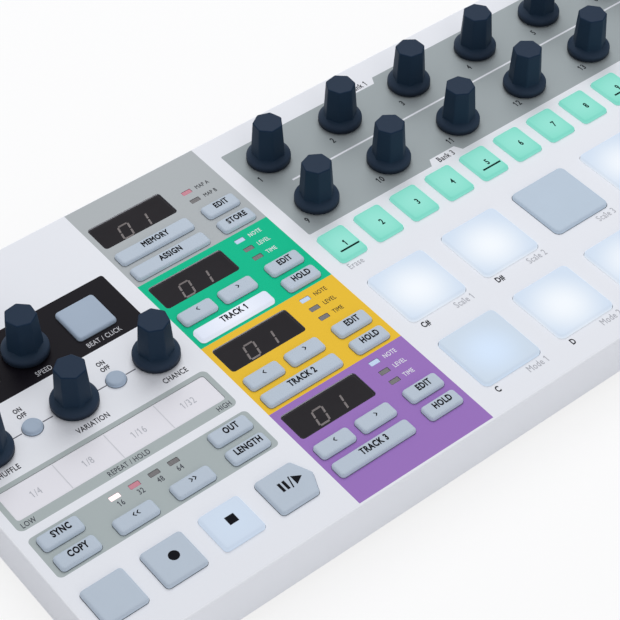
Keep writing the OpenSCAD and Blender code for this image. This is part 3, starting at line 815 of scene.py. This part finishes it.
def flagged(flat):
    """Gives each plain upright stroke of a number, which is a one, its small flag."""
    work = opened(flat, SAME_CORNER)
    for group in islands(work.faces):
        corners = {corner for face in group for corner in face.verts}
        low, high = spread_of([corner.co for corner in corners])
        stroke = high.x - low.x
        if len(corners) == 4 and high.y - low.y > ONE_TALL and stroke < ONE_THIN:
            bmesh.ops.delete(work, geom=group, context="FACES")
            tip = low.x - FLAG_REACH * stroke
            outline = ((low.x, low.y), (high.x, low.y), (high.x, high.y), (low.x, high.y),
                       (tip, high.y - FLAG_TOP * stroke), (tip, high.y - FLAG_LOW * stroke),
                       (low.x, high.y - FLAG_ROOT * stroke))
            work.faces.new([work.verts.new((x, y, 0.0)) for x, y in outline])
    bmesh.ops.delete(work, geom=[v for v in work.verts if not v.link_faces], context="VERTS")
    bmesh.ops.triangulate(work, faces=work.faces)
    return closed(work, flat)


def bolder(flat, weight):
    """Moves the outline of flat letters outwards, and drops the band folded under it."""
    work = opened(flat, SAME_CORNER)
    grown_out = bmesh.ops.inset_region(work, faces=work.faces, thickness=-weight, use_boundary=True,
                                       use_even_offset=True)
    bmesh.ops.delete(work, geom=grown_out["faces"], context="FACES")
    return closed(work, flat)


def inked(work, ink):
    """Ends flat ink: one mesh that faces up."""
    bmesh.ops.remove_doubles(work, verts=work.verts, dist=SAME_POINT)
    for face in work.faces:
        if face.normal.z < 0:
            face.normal_flip()
    mesh = closed(work, bpy.data.meshes.new("ink"))
    mesh.materials.append(ink)
    return mesh


def shapes(outlines, ink):
    """Flat ink for outlines given as lists of points."""
    work = bmesh.new()
    for outline in outlines:
        lifted = [work.verts.new(point + Vector((0.0, 0.0, PRINT_LIFT))) for point in outline]
        work.faces.new(lifted)
    return inked(work, ink)


def block(middle, width, depth):
    """A rectangle's corners round its middle, from its sizes in millimetres."""
    half_x, half_y = width * MM / 2, depth * MM / 2
    corners = ((-half_x, -half_y), (half_x, -half_y), (half_x, half_y), (-half_x, half_y))
    return [middle + Vector((x, y, 0.0)) for x, y in corners]


DISC_SIDES = 40


def disc(middle, radius):
    """A circle's points, counter-clockwise."""
    turns = [2 * math.pi * i / DISC_SIDES for i in range(DISC_SIDES)]
    return [middle + Vector((radius * math.cos(a), radius * math.sin(a), 0.0)) for a in turns]


def bar(low, high, z):
    """A rectangle in panel millimetres, as an outline at a height."""
    corners = (low, (high[0], low[1]), high, (low[0], high[1]))
    return [Vector((COLUMN_X + x * MM, FRONT_Y + y * MM, z)) for x, y in corners]


# Inks, silicones and rubber

def printing_ink(kind, colour, mottle=0.06, shine=0.1):
    return moulded(kind + " printing ink", colour, 0.6, mottle=mottle, Specular_IOR_Level=shine)


dark_ink = printing_ink("dark", tint(28, 29, 37), 0.12)
key_ink = printing_ink("key", tint(13, 15, 21), 0.12, 0.04)
step_ink = printing_ink("step key", tint(3, 38, 33), 0.12, 0.04)
white_ink = printing_ink("white", tint(228, 230, 236))
grey_ink = printing_ink("pale grey", tint(176, 178, 185))
silver_ink = printing_ink("silver", tint(196, 197, 202))
pale_ink = printing_ink("divider", tint(203, 204, 209))
line_ink = printing_ink("line", tint(84, 86, 96))
soft_ink = printing_ink("soft dark", tint(60, 62, 72))

# How far a lamp's light reaches from the middle, and where a pad's lamp stands
KEY_REACH, STEP_REACH, PAD_REACH, DIM_REACH = 16 * MM, 11 * MM, 15.5 * MM, 13.5 * MM
PAD_LAMP = -1.2 * MM, -1.6 * MM
KEY_UNLIT, PAD_UNLIT = tint(179, 191, 204), tint(181, 196, 211)

key_silicone = lit_silicone("key silicone", KEY_UNLIT, tint(218, 225, 241), tint(237, 241, 252), KEY_REACH)
stop_silicone = lit_silicone("stop key silicone", KEY_UNLIT, tint(198, 211, 228), tint(202, 217, 235),
                             KEY_REACH)
tap_silicone = lit_silicone("tap key silicone", tint(157, 172, 190), tint(226, 230, 246),
                            tint(244, 245, 255), KEY_REACH)
step_silicone = lit_silicone("mint step silicone", tint(150, 210, 200), tint(120, 213, 194),
                             tint(150, 227, 212), STEP_REACH)
pad_silicone = lit_silicone("pad silicone", PAD_UNLIT, tint(206, 220, 237), tint(252, 254, 255),
                            PAD_REACH, PAD_LAMP)
dim_silicone = lit_silicone("dim pad silicone", PAD_UNLIT, tint(199, 213, 228), tint(212, 231, 255),
                            DIM_REACH, PAD_LAMP)
slate = knob_rubber()


# Caps of keys and pads

KEY_CORNER, KEY_EDGE = 1.4 * MM, 0.85 * MM
PAD_CORNER, PAD_EDGE = 2.2 * MM, 0.9 * MM
CAP_GROW = 0.13 * MM

soft_caps = soft_cap_tree()


def soft_slabs(outlines, corner, low, high, finish):
    """Slabs with round corners over outlines, between two heights."""
    return grown(soft_caps, loops(outlines), Corner=corner, Low=low, Rise=high - low, Finish=finish)


def widened(outline, by):
    """An outline scaled about its middle, so that its box grows by a margin on each side."""
    low, high = spread_of([Vector((x, y, 0.0)) for x, y in outline])
    middle, half = (low + high) / 2, (high - low) / 2
    return [(middle.x + (x - middle.x) * (1 + by / half.x), middle.y + (y - middle.y) * (1 + by / half.y))
            for x, y in outline]


def caps(outlines, corner, edge, high, finish, glows):
    """Soft caps over outlines, up to a height, each with its glow."""
    wide = [widened(outline, CAP_GROW) for outline in outlines]
    mesh = soft_slabs(wide, corner, UNDER_PANEL, high, finish)
    softened(mesh, edge, where=lambda middle: middle.z > TOP_Z)
    boxes = [spread_of([Vector((x, y, high)) for x, y in outline]) for outline in outlines]
    return measured(mesh, boxes, glows)


def middle_of(box, z=None):
    """The middle of a box seen from above, at the box's top or at a given height."""
    low, high = box
    return Vector(((low.x + high.x) / 2, (low.y + high.y) / 2, high.z if z is None else z))


# The column's keypads: each top, from the front left, has its word

ARROW_ROW = ("<", ">", "EDIT")
KEYPAD_WORDS = {
    "track_3_keypad": ("TRACK 3", "HOLD") + ARROW_ROW,
    "track_2_keypad": ("TRACK 2", "HOLD") + ARROW_ROW,
    "track_1_keypad": ("TRACK 1", "HOLD") + ARROW_ROW,
    "memory_keypad": ("ASSIGN", "STORE", "MEMORY", "EDIT"),
}
LIT_KEYS = {"track_1_keypad": ("TRACK 1",)}
KEY_LETTER, KEY_BOLD = 2.35, 0.046
SIGN_SHIFT = Vector((0.6 * MM, 0.75 * MM, 0.0))
CHEVRON_TALL, CHEVRON_DEEP, CHEVRON_STROKE, CHEVRON_SPACE = 1.6, 0.75, 0.5, 1.1


def chevrons(word, middle):
    """Arrow signs for a word made of < or >, side by side, as outlines."""
    way = 1 if ">" in word else -1
    pitch = (CHEVRON_DEEP + CHEVRON_STROKE) * CHEVRON_SPACE
    corners = [(-CHEVRON_DEEP / 2, 1), (CHEVRON_DEEP / 2, 0), (-CHEVRON_DEEP / 2, -1)]
    outlines = []
    for i in range(len(word)):
        start = middle.x / MM + (i - (len(word) - 1) / 2) * pitch
        right = [(start + way * (x + CHEVRON_STROKE / 2), y) for x, y in corners]
        left = [(start + way * (x - CHEVRON_STROKE / 2), y) for x, y in reversed(corners)]
        points = [Vector((x * MM, middle.y + y * CHEVRON_TALL / 2 * MM, middle.z)) for x, y in right + left]
        outlines.append([points[0], points[1], points[4], points[5]])
        outlines.append([points[1], points[2], points[3], points[4]])
    return outlines


def key_signs(words, tops):
    """Ink for the words and arrows of a row of keys."""
    labels, arrows = [], []
    for word, top in zip(words, tops):
        if set(word) <= set("<>"):
            arrows += chevrons(word, middle_of(top) + SIGN_SHIFT)
        else:
            labels.append((word, middle_of(top) + SIGN_SHIFT, KEY_LETTER, "middle", KEY_BOLD))
    ink = [lettering(labels, key_ink)]
    return ink + [shapes(arrows, key_ink)] if arrows else ink


def keypad(node, words, lit):
    tops = top_boxes(node)
    glows = [1.0 if word in lit else 0.0 for word in words]
    outlines = [box_outline(top) for top in tops]
    mesh = caps(outlines, KEY_CORNER, KEY_EDGE, tops[0][1].z, key_silicone, glows)
    piece(node + "_caps", joined(node, [mesh] + key_signs(words, tops)), node, "key_silicone", node)


for node, words in KEYPAD_WORDS.items():
    keypad(node, words, LIT_KEYS.get(node, ()))


# The left keypad: six bar keys and two round keys

BAR_WORDS = ("COPY", "<<", ">>", "LENGTH", "SYNC", "OUT")


def left_keypad():
    tops = top_boxes("left_keypad")
    bars, rounds = tops[:len(BAR_WORDS)], tops[len(BAR_WORDS):]
    high = tops[0][1].z
    unlit = [0.0] * len(tops)
    bar_caps = caps([box_outline(top) for top in bars], KEY_CORNER, KEY_EDGE, high, key_silicone, unlit)
    circles = [[(c.x, c.y) for c in disc(middle_of(top), (top[1].x - top[0].x) / 2)] for top in rounds]
    round_caps = caps(circles, 0.0, KEY_EDGE, high, tap_silicone, unlit)
    whole = joined("left_keypad", [bar_caps, round_caps] + key_signs(BAR_WORDS, bars))
    piece("left_keypad_caps", whole, "left_keypad", "key_silicone", "left_keypad")


left_keypad()


# Step keys, each with its number, and a bar under the first of every four

STEP_KEYS = 16
STEP_LETTER = 2.6
STEP_SEAT = Vector((0.7 * MM, -0.8 * MM, 0.0))
BEAT = 4
BEAT_SEAT = Vector((0.7 * MM, -3.4 * MM, 0.0))
BEAT_BAR = 8.0, 0.8


def step_key(number):
    node = f"step_key_{number}"
    top = top_boxes(node)[0]
    mesh = caps([box_outline(top)], KEY_CORNER, KEY_EDGE, top[1].z, step_silicone, [1.0])
    middle = middle_of(top)
    parts = [mesh, lettering([(str(number), middle + STEP_SEAT, STEP_LETTER, "middle", BOLD)], step_ink)]
    if number % BEAT == 1:
        parts.append(shapes([block(middle + BEAT_SEAT, *BEAT_BAR)], step_ink))
    piece(node + "_cap", joined(node, parts), node, "step_silicone", node)


for number in range(1, STEP_KEYS + 1):
    step_key(number)


# Transport keys and the tap key, with their signs

SQUARE_KEYS = {"shift_key": (key_silicone, 0.0), "record_key": (key_silicone, 0.0),
               "stop_key": (stop_silicone, 1.0), "tap_key": (tap_silicone, 0.0)}
STOP_SIZE, RECORD_RADIUS = 3.3, 1.8 * MM
PAUSE_AT, PAUSE_BAR = (-3.4, -1.7), (1.0, 3.6)
SLASH = (-0.6, -2.2), (-0.15, -2.2), (0.9, 2.2), (0.45, 2.2)
PLAY_ARROW = (1.3, -1.9), (4.4, 0.0), (1.3, 1.9)


def drawn(middle, corners):
    """An outline from corners in millimetres round its middle."""
    return [middle + Vector((x * MM, y * MM, 0.0)) for x, y in corners]


def single_key(node, outline, corner, finish, glow, signs):
    mesh = caps([outline], corner, KEY_EDGE, tops_of(node)[0][0].z, finish, [glow])
    ink = [shapes(signs, key_ink)] if signs else []
    piece(node + "_cap", joined(node, [mesh] + ink), node, "key_silicone", node)


def transport_keys():
    for node, (finish, glow) in SQUARE_KEYS.items():
        top = top_boxes(node)[0]
        sign_at = middle_of(top) + SIGN_SHIFT
        signs = {"stop_key": [block(sign_at, STOP_SIZE, STOP_SIZE)],
                 "record_key": [disc(sign_at, RECORD_RADIUS)]}
        single_key(node, box_outline(top), KEY_CORNER, finish, glow, signs.get(node))
    corners = tops_of("play_key")[0]
    heart = middle_of(spread_of(corners))
    around = sorted(corners, key=lambda c: math.atan2(c.y - heart.y, c.x - heart.x))
    sign_at = heart + SIGN_SHIFT
    signs = [block(sign_at + Vector((x * MM, 0.0, 0.0)), *PAUSE_BAR) for x in PAUSE_AT]
    signs += [drawn(sign_at, SLASH), drawn(sign_at, PLAY_ARROW)]
    single_key("play_key", [(c.x, c.y) for c in around], 0.0, key_silicone, 0.0, signs)


transport_keys()


# Pads: all lit but those that stand where a keyboard has no black key

UNLIT_PADS = (10, 14, 15)


def pads():
    """The front left pad glows dimly; the others are lit or dark."""
    outlines = [box_outline(top) for top in top_boxes("pad_mat")]
    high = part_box("pad_mat")[1].z
    glows = [0.0 if i in UNLIT_PADS else 1.0 for i in range(len(outlines))]
    dim = caps(outlines[:1], PAD_CORNER, PAD_EDGE, high, dim_silicone, [1.0])
    others = caps(outlines[1:], PAD_CORNER, PAD_EDGE, high, pad_silicone, glows[1:])
    piece("pads", joined("pads", [dim, others]), "pad_mat", "pad_silicone", "pad_mat")


pads()


# Knobs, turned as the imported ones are

KNOB_GAP, KNOB_EDGE = 0.5 * MM, 0.4 * MM
KNOB_SIZES = {"Skirt": 7.9 * MM, "Rim": 2.3 * MM, "Cone": 1.7 * MM, "Foot": 6.2 * MM, "Top": 5.4 * MM,
              "Edge": 1.1 * MM, "Flare": 6.9 * MM, "Run": 2.5 * MM}
FIELD_KNOBS = 16
SIDE_KNOBS = ["tempo_knob", "shuffle_knob", "variation_knob", "chance_knob"]


def turn_of(node, middle):
    """The direction of one corner of a knob's top, from the knob's axis."""
    corner = max(tops_of(node)[0], key=lambda c: (c - middle).xy.length)
    return math.atan2(corner.y - middle.y, corner.x - middle.x)


def knob(node, tree):
    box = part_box(node)
    middle = middle_of(box, TOP_Z + KNOB_GAP)
    top = box[1].z
    rim_top = middle.z + KNOB_SIZES["Rim"]
    mesh = grown(tree, marks([(0.0, 0.0, 0.0)]), Centre=middle, Turn=turn_of(node, middle),
                 Height=top - middle.z, Finish=slate, **KNOB_SIZES)
    softened(mesh, KNOB_EDGE, where=lambda c: c.z > top - SAME_PLANE or c.z < rim_top + SAME_PLANE)
    piece(node + "_grip", mesh, node, "knob_slate", node)


knob_shape = knob_tree()
for node in [f"knob_{i + 1}" for i in range(FIELD_KNOBS)] + SIDE_KNOBS:
    knob(node, knob_shape)


# Lamps: lenses sorted by what shines through them

LAMP_STATES = {
    "lamps_white": lamp_glass("lit white lens", tint(130, 145, 160), tint(140, 162, 194), 0.8),
    "lamps_red": lamp_glass("lit red lens", tint(130, 60, 74), tint(152, 82, 104), 0.75),
    "lamps_rose": lamp_glass("lit rose lens", tint(180, 160, 162), tint(255, 232, 233), 1.0),
    # The dark lens carries a faint painted glow, though its lamp is off.
    "lamps_off": lamp_glass("dark lens", tint(56, 53, 58), tint(60, 50, 55), 0.1),
}
LAMP_ORDER = ("off", "off", "white", "rose", "red", "off", "off", "off", "off", "white", "off", "off",
              "white", "off", "red")
LENS_CROWN, LENS_GROW, LENS_CORNER, LENS_EDGE = 0.3 * MM, 0.08 * MM, 0.35 * MM, 0.15 * MM


def lamps():
    tops = top_boxes("lamp_lenses")
    for name, glass in LAMP_STATES.items():
        chosen = [top for top, state in zip(tops, LAMP_ORDER) if name.endswith(state)]
        high = chosen[0][1].z + LENS_CROWN
        outlines = [widened(box_outline(top), LENS_GROW) for top in chosen]
        mesh = soft_slabs(outlines, LENS_CORNER, UNDER_PANEL, high, glass)
        softened(mesh, LENS_EDGE, where=lambda middle: middle.z > high - SAME_PLANE)
        piece(name, mesh, "case", "lamp_lens", "lamp_lenses")


lamps()


# Windows and the segment digits under them

SEGMENTS = {"0": "abcdef", "1": "bc", "2": "abged"}
SEGMENT_ENDS = {"a": ((0, 2), (1, 2)), "b": ((1, 2), (1, 1)), "c": ((1, 1), (1, 0)), "d": ((0, 0), (1, 0)),
                "e": ((0, 1), (0, 0)), "f": ((0, 2), (0, 1)), "g": ((0, 1), (1, 1))}
DIGIT_WIDTH, DIGIT_HALF, DIGIT_SLANT, STROKE = 4.0, 3.1, 0.21, 0.72
SEGMENT_GAP, SEGMENT_TIP = 0.35, 0.15
DIGIT_SHIFT = Vector((-0.3 * MM, 0.5 * MM, 0.0))
COLUMN_DIGITS = (12.5, "0"), (19.9, "1")
TEMPO_DIGITS = (5.0, "1"), (12.2, "2"), (19.4, "0")
WINDOW_THICK, WINDOW_CORNER, WINDOW_EDGE = 0.2 * MM, 1.3 * MM, 0.15 * MM
SHIELD = Vector((0.5 * MM, 0.5 * MM, 0.0))
# The black of the parts under a window, and their painted glow.
BLACK_AND_PAINTED_GLOW = tint(14, 13, 14), tint(70, 68, 72)


def digit(character, middle):
    """Outlines of a slanted segment digit, with a small gap at each end of a stroke."""
    outlines = []
    for name in SEGMENTS[character]:
        ends = [Vector(((x - 0.5) * DIGIT_WIDTH, (y - 1) * DIGIT_HALF)) for x, y in SEGMENT_ENDS[name]]
        along = (ends[1] - ends[0]).normalized()
        aside = Vector((-along.y, along.x)) * STROKE / 2
        start, stop = ends[0] + along * SEGMENT_GAP, ends[1] - along * SEGMENT_GAP
        tip = along * SEGMENT_TIP
        corners = (start - aside, stop - aside, stop + tip, stop + aside, start + aside, start - tip)
        leaning = [Vector((c.x + c.y * DIGIT_SLANT, c.y, 0.0)) * MM for c in corners]
        outlines.append([middle + corner for corner in leaning])
    return outlines


def displays():
    """Smoked windows on a black shield, over digits that stand on the display blocks."""
    glow = lamp_glass("dim segment", tint(110, 104, 106), tint(158, 150, 150), 1.0)
    tops = top_boxes("display_windows")
    block_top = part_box("display_modules")[1].z
    plate_top = tops[0][1].z
    plate_low = plate_top - WINDOW_THICK
    frames = [box_outline(top) for top in tops]
    openings = [box_outline((low + SHIELD, high - SHIELD)) for low, high in tops]
    plates = soft_slabs(frames, WINDOW_CORNER, plate_low, plate_top, smoked_film())
    # The shield is black, with a faint painted glow.
    shield_black = lit_gloom("shield black", *BLACK_AND_PAINTED_GLOW)
    shields = soft_slabs(frames + openings, WINDOW_CORNER, block_top, plate_low, shield_black)
    whole = joined("smoked_windows", [softened(plates, WINDOW_EDGE), shields])
    piece("smoked_windows", whole, "case", "smoked_window", "display_windows")
    outlines = []
    for low, high in tops:
        columns = COLUMN_DIGITS if low.x > COLUMN_X else TEMPO_DIGITS
        for x, character in columns:
            seat = Vector((low.x + x * MM, (low.y + high.y) / 2, block_top))
            outlines += digit(character, seat + DIGIT_SHIFT)
    piece("display_digits", shapes(outlines, glow), "case", "display_black")


displays()


# The touch strip's film

FILM_GROW = Vector((0.12 * MM, 0.12 * MM, 0.0))
FILM_CORNER, FILM_EDGE = 1.1 * MM, 0.1 * MM
SHARE_TALL = 2.7
DIVIDERS_X, DIVIDER_WIDTH, DIVIDER_Y = (-63.7, -44.8, -25.9), 0.35, (58.2, 69.7)
SHARES, SHARE_X, SHARE_PITCH, SHARE_Y = ("1/4", "1/8", "1/16", "1/32"), -73.2, 18.9, 63.9


def touch_film():
    """The touch strip's white film, which closes its recess, with its dividers and shares."""
    low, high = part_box("touch_strip")
    film = moulded("white touch film", tint(222, 221, 227), 0.4, relief=0.06, mottle=0.015,
                   Specular_IOR_Level=0.15)
    mesh = soft_slabs([box_outline((low - FILM_GROW, high + FILM_GROW))], FILM_CORNER, low.z, high.z, film)
    dividers = [bar((x, DIVIDER_Y[0]), (x + DIVIDER_WIDTH, DIVIDER_Y[1]), high.z) for x in DIVIDERS_X]
    shares = []
    for i, share in enumerate(SHARES):
        seat = on_panel(SHARE_X + SHARE_PITCH * i, SHARE_Y)
        shares.append((share, Vector((seat.x, seat.y, high.z)), SHARE_TALL, "middle", 0.0))
    parts = [softened(mesh, FILM_EDGE), lettering(shares, grey_ink), shapes(dividers, pale_ink)]
    piece("touch_film", joined("touch_film", parts), "case", "strip_white", "touch_strip")


touch_film()


# Printing on the panel: each label's place and height is in panel millimetres

SMALL, WORD_TALL, SIDE_TALL, NOTE_TALL = 1.75, 2.0, 2.1, 2.3
BANK_TALL, NUMBER_TALL = 2.5, 2.6
SILVER_WEIGHT, BANK_WEIGHT, SIDE_WEIGHT, NUMBER_WEIGHT = 0.004, 0.015, 0.018, 0.022
LAMP_WORDS, MAP_WORDS = ("NOTE", "LEVEL", "TIME"), ("MAP A", "MAP B")
LAMP_WORD_X, LAMP_PITCH = 43.6, 5.0
WORD_DROP, MAP_DROP = 1.0, 6.0
ZONE_BACK, ZONE_PITCH = 41.3, 35.5
KNOB_PITCH, FIRST_KNOB = 32.5, 72.5
NUMBER_ASIDE, NUMBER_ROWS = 8.6, (131.0, 104.7)
PAD_COLUMNS = 8
PAD_NOTES = ("C", "D", "E", "F", "G", "A", "B", "C", "C#", "D#", "", "F#", "G#", "A#", "", "")
PAD_WORDS = ("Mode", "Scale")
PAD_LEFT, PAD_RIGHT, PAD_ROWS = 60.5, 84.5, (7.2, 42.8)
NOTE_ASIDE = 1.6
ERASE_AT = 60.4, 78.4
BANK_BACK, BANK_FRONT = 0.9, 1.0
SIDE_WORDS, SIDE_WORD_Y = ((-75.8, "SHUFFLE"), (-44.4, "VARIATION"), (-13.0, "CHANCE")), 75.6
ROUND_KEYS_X, ON_Y, OFF_Y = (-60.1, -28.7), 94.6, 91.9
TEMPO_WORDS, TEMPO_WORD_Y = ((-44.4, "SPEED"), (-21.2, "BEAT / CLICK")), 103.4
STRIP_WORDS = (-44.85, "REPEAT / HOLD", "middle"), (-6.0, "HIGH", "right"), (-83.7, "LOW", "left")
STRIP_WORD_Y = 55.6
COUNTS, COUNT_X, COUNT_PITCH, COUNT_Y = (16, 32, 48, 64), -55.5, 7.25, 44.4
SIDE_LINES = (-67.5, -64.0), (-56.4, -52.6), (-36.1, -32.3), (-25.0, -21.2)
SIDE_LINE_Y, ROW_LINE_Y = (85.5, 85.9), (123.4, 124.2)


def note(text, x, y, height=SMALL, side="middle", weight=BOLD):
    return text, on_panel(x, y), height, side, weight


def lamp_notes(words, zone, drop):
    """Words beside the lamps of one of the column's zones, from its back forwards."""
    back = ZONE_BACK + zone * ZONE_PITCH - drop
    return [note(word, LAMP_WORD_X, back - LAMP_PITCH * i, SMALL, "left", MEDIUM)
            for i, word in enumerate(words)]


def dark_labels():
    labels = []
    for i, letter in enumerate(PAD_NOTES):
        row, column = divmod(i, PAD_COLUMNS)
        number_x = FIRST_KNOB + KNOB_PITCH * column - NUMBER_ASIDE
        note_x = PAD_LEFT + KNOB_PITCH * column + NOTE_ASIDE
        labels.append(note(str(i + 1), number_x, NUMBER_ROWS[row], NUMBER_TALL, weight=NUMBER_WEIGHT))
        labels.append(note(letter, note_x, PAD_ROWS[row], NOTE_TALL, "left"))
    for i, middle in enumerate(TAB_MIDDLES):
        labels.append(note(f"Bank {i + 1}", middle, FIELD[1][1] - BANK_BACK, BANK_TALL, weight=BANK_WEIGHT))
        labels.append(note(f"Bank {i + 3}", middle, FIELD[0][1] + BANK_FRONT, BANK_TALL, weight=BANK_WEIGHT))
    labels += lamp_notes(LAMP_WORDS, 1, WORD_DROP) + lamp_notes(MAP_WORDS, 3, MAP_DROP)
    labels += [note(word, x, SIDE_WORD_Y, SIDE_TALL, weight=SIDE_WEIGHT) for x, word in SIDE_WORDS]
    for x in ROUND_KEYS_X:
        labels += [note("ON", x, ON_Y), note("OFF", x, OFF_Y)]
    return labels


def soft_labels():
    labels = [note(word, x, STRIP_WORD_Y, WORD_TALL, side, MEDIUM) for x, word, side in STRIP_WORDS]
    for i, count in enumerate(COUNTS):
        labels.append(note(str(count), COUNT_X + COUNT_PITCH * i, COUNT_Y, SIDE_TALL, weight=MEDIUM))
    return labels


def white_labels():
    return lamp_notes(LAMP_WORDS, 0, WORD_DROP) + lamp_notes(LAMP_WORDS, 2, WORD_DROP)


def silver_labels():
    return [note(word, x, TEMPO_WORD_Y, WORD_TALL, weight=SILVER_WEIGHT) for x, word in TEMPO_WORDS]


def grey_labels():
    labels = [note("Erase", *ERASE_AT, NUMBER_TALL, "left", MEDIUM)]
    for i in range(len(PAD_NOTES)):
        row, column = divmod(i, PAD_COLUMNS)
        word = f"{PAD_WORDS[row]} {column + 1}"
        x = PAD_RIGHT + KNOB_PITCH * column
        labels.append(note(word, x, PAD_ROWS[row], NUMBER_TALL, "right", MEDIUM))
    return labels


def printing():
    lines = [bar((left, SIDE_LINE_Y[0]), (right, SIDE_LINE_Y[1]), TOP_Z) for left, right in SIDE_LINES]
    dark = [lettering(dark_labels(), dark_ink), lettering(soft_labels(), soft_ink), shapes(lines, line_ink)]
    piece("dark_print", joined("dark_print", dark), "case", "cover_white")
    last_knob = FIRST_KNOB + (PAD_COLUMNS - 1) * KNOB_PITCH
    row_line = bar((FIRST_KNOB, ROW_LINE_Y[0]), (last_knob, ROW_LINE_Y[1]), TOP_Z)
    white = [lettering(white_labels(), white_ink), lettering(silver_labels(), silver_ink),
             shapes([row_line], white_ink)]
    piece("white_print", joined("white_print", white), "case", "cover_white")
    piece("grey_print", lettering(grey_labels(), grey_ink), "case", "cover_white")


printing()


# The rear and the underside

CREASE = 0.5
NUT_RADIUS, NUT_BORE = 4.0 * MM, 2.95 * MM
SCREW_SIZES = {"Head": 2.7 * MM, "Thick": 1.5 * MM, "Shank": 1.45 * MM, "Length": 5.5 * MM}
FOOT_SIZES = {"Radius": 6.0 * MM, "Height": 2.0 * MM}


def fitted(name, node, slot, tree, seats, **sizes):
    """Small parts of the case, one on each seat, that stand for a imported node."""
    mesh = grown(tree, marks(seats), **sizes)
    mesh.set_sharp_from_angle(angle=CREASE)
    piece(name, mesh, "case", slot, node)


def rear_and_underside():
    nuts = solids_of("jack_nuts")
    front, back = nuts[0][0].y, nuts[0][1].y
    seats = [Vector(((low.x + high.x) / 2, front, (low.z + high.z) / 2)) for low, high in nuts]
    plated = brushed("plated nut", tint(176, 176, 180), 0.32)
    fitted("ring_nuts", "jack_nuts", "nut_metal", ring_nut_tree(), seats, Outer=NUT_RADIUS,
           Inner=NUT_BORE, Thick=back - front, Finish=plated)
    seats = [middle_of(box, box[0].z + SCREW_SIZES["Thick"]) for box in solids_of("screws")]
    zinc = brushed("zinc screw", tint(150, 150, 156), 0.35)
    fitted("socket_screws", "screws", "steel", screw_tree(), seats, Finish=zinc, **SCREW_SIZES)
    seats = [middle_of(box) for box in solids_of("rubber_feet")]
    rubber = moulded("foot rubber", tint(40, 40, 42), 0.8, grain=2500.0, relief=0.4)
    fitted("feet", "rubber_feet", "foot_rubber", foot_tree(), seats, Finish=rubber, **FOOT_SIZES)


rear_and_underside()


# Nodes that stay as they are packed

KEPT = {
    "top_cover": cover_finish(),
    "base_tray": moulded("black powder coat", tint(42, 43, 46), 0.6, grain=1100.0, relief=0.5),
    "main_board": solder_mask(),
    "encoder_bodies": brushed("encoder can", tint(168, 170, 172), 0.3),
    # The display blocks carry the same painted glow.
    "display_modules": lit_gloom("display block", *BLACK_AND_PAINTED_GLOW),
    "jack_sockets": moulded("socket black", tint(34, 34, 36), 0.45),
    "usb_socket": brushed("stamped shell", tint(180, 182, 186), 0.28),
}
for node, finish in KEPT.items():
    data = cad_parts[node].data
    data.materials.clear()
    data.materials.append(finish)


# Floor, light and camera

FLOOR_HALF, FLOOR_GLOW = 3.0, 0.82
ROOM_LIGHT = 0.61
SENSOR_WIDTH, NEAR = 36.0, 0.01
LAMP_AIM = Vector((-0.05, 0.0, 0.0))


def looked_at(bench):
    """1 where the camera looks at a surface, straight, in a mirror or through glass."""
    path = bench.add("ShaderNodeLightPath").socket.node
    seen = Wire(bench, path.outputs["Is Camera Ray"])
    for name in ("Is Glossy Ray", "Is Transmission Ray"):
        seen = seen.most(Wire(bench, path.outputs[name]))
    return seen


def floor():
    """A pale floor: white to the camera, with the part's shadow on it."""
    mesh = bpy.data.meshes.new("floor")
    corners = [(x * FLOOR_HALF, y * FLOOR_HALF, 0.0) for x, y in ((-1, -1), (1, -1), (1, 1), (-1, 1))]
    mesh.from_pydata(corners, [], [(0, 1, 2, 3)])
    material = bpy.data.materials.new("pale floor")
    material.use_nodes = True
    material.node_tree.nodes.clear()
    bench = Bench(material.node_tree)
    matte = bench.add("ShaderNodeBsdfDiffuse", {}, {"Color": tint(236, 236, 238)})
    shine = bench.add("ShaderNodeEmission", {}, {"Color": WHITE, "Strength": 1.0})
    surface = bench.add("ShaderNodeMixShader", {}, {0: looked_at(bench) * FLOOR_GLOW, 1: matte, 2: shine})
    bench.add("ShaderNodeOutputMaterial", {}, {"Surface": surface})
    mesh.materials.append(material)
    ground = placed("floor", mesh)


def sky():
    """An even white studio round the part, and white wherever it is looked at."""
    world = bpy.data.worlds.new("studio")
    bpy.context.scene.world = world
    world.use_nodes = True
    world.node_tree.nodes.clear()
    bench = Bench(world.node_tree)
    around = bench.add("ShaderNodeBackground", {}, {"Color": tint(250, 251, 255), "Strength": ROOM_LIGHT})
    white = bench.add("ShaderNodeBackground", {}, {"Color": WHITE, "Strength": 1.0})
    surface = bench.add("ShaderNodeMixShader", {}, {0: looked_at(bench), 1: around, 2: white})
    bench.add("ShaderNodeOutputWorld", {}, {"Surface": surface})


def aimed(name, data, at, aim, roll=0.0):
    """A lamp or camera at a place, looking at another, rolled about its own axis."""
    thing = placed(name, data)
    thing.location = at
    thing.rotation_mode = "QUATERNION"
    thing.rotation_quaternion = (aim - at).to_track_quat("-Z", "Y") @ Quaternion((0.0, 0.0, 1.0), roll)
    return thing


def lamp(name, at, size, power):
    light = bpy.data.lights.new(name, "AREA")
    light.shape = "DISK"
    light.size = size
    light.energy = power
    aimed(name, light, Vector(at), LAMP_AIM)


def camera():
    lens = bpy.data.cameras.new("camera")
    lens.lens = CAMERA_LENS
    lens.sensor_width = SENSOR_WIDTH
    lens.clip_start = NEAR
    bpy.context.scene.camera = aimed("camera", lens, CAMERA_AT, CAMERA_AIM, CAMERA_ROLL)


floor()
sky()
lamp("softbox behind", (0.45, 0.70, 1.15), size=1.0, power=10.6)
lamp("front fill", (-0.25, -1.3, 0.6), size=1.0, power=2.6)
camera()
bpy.context.scene.view_settings.view_transform = "Standard"
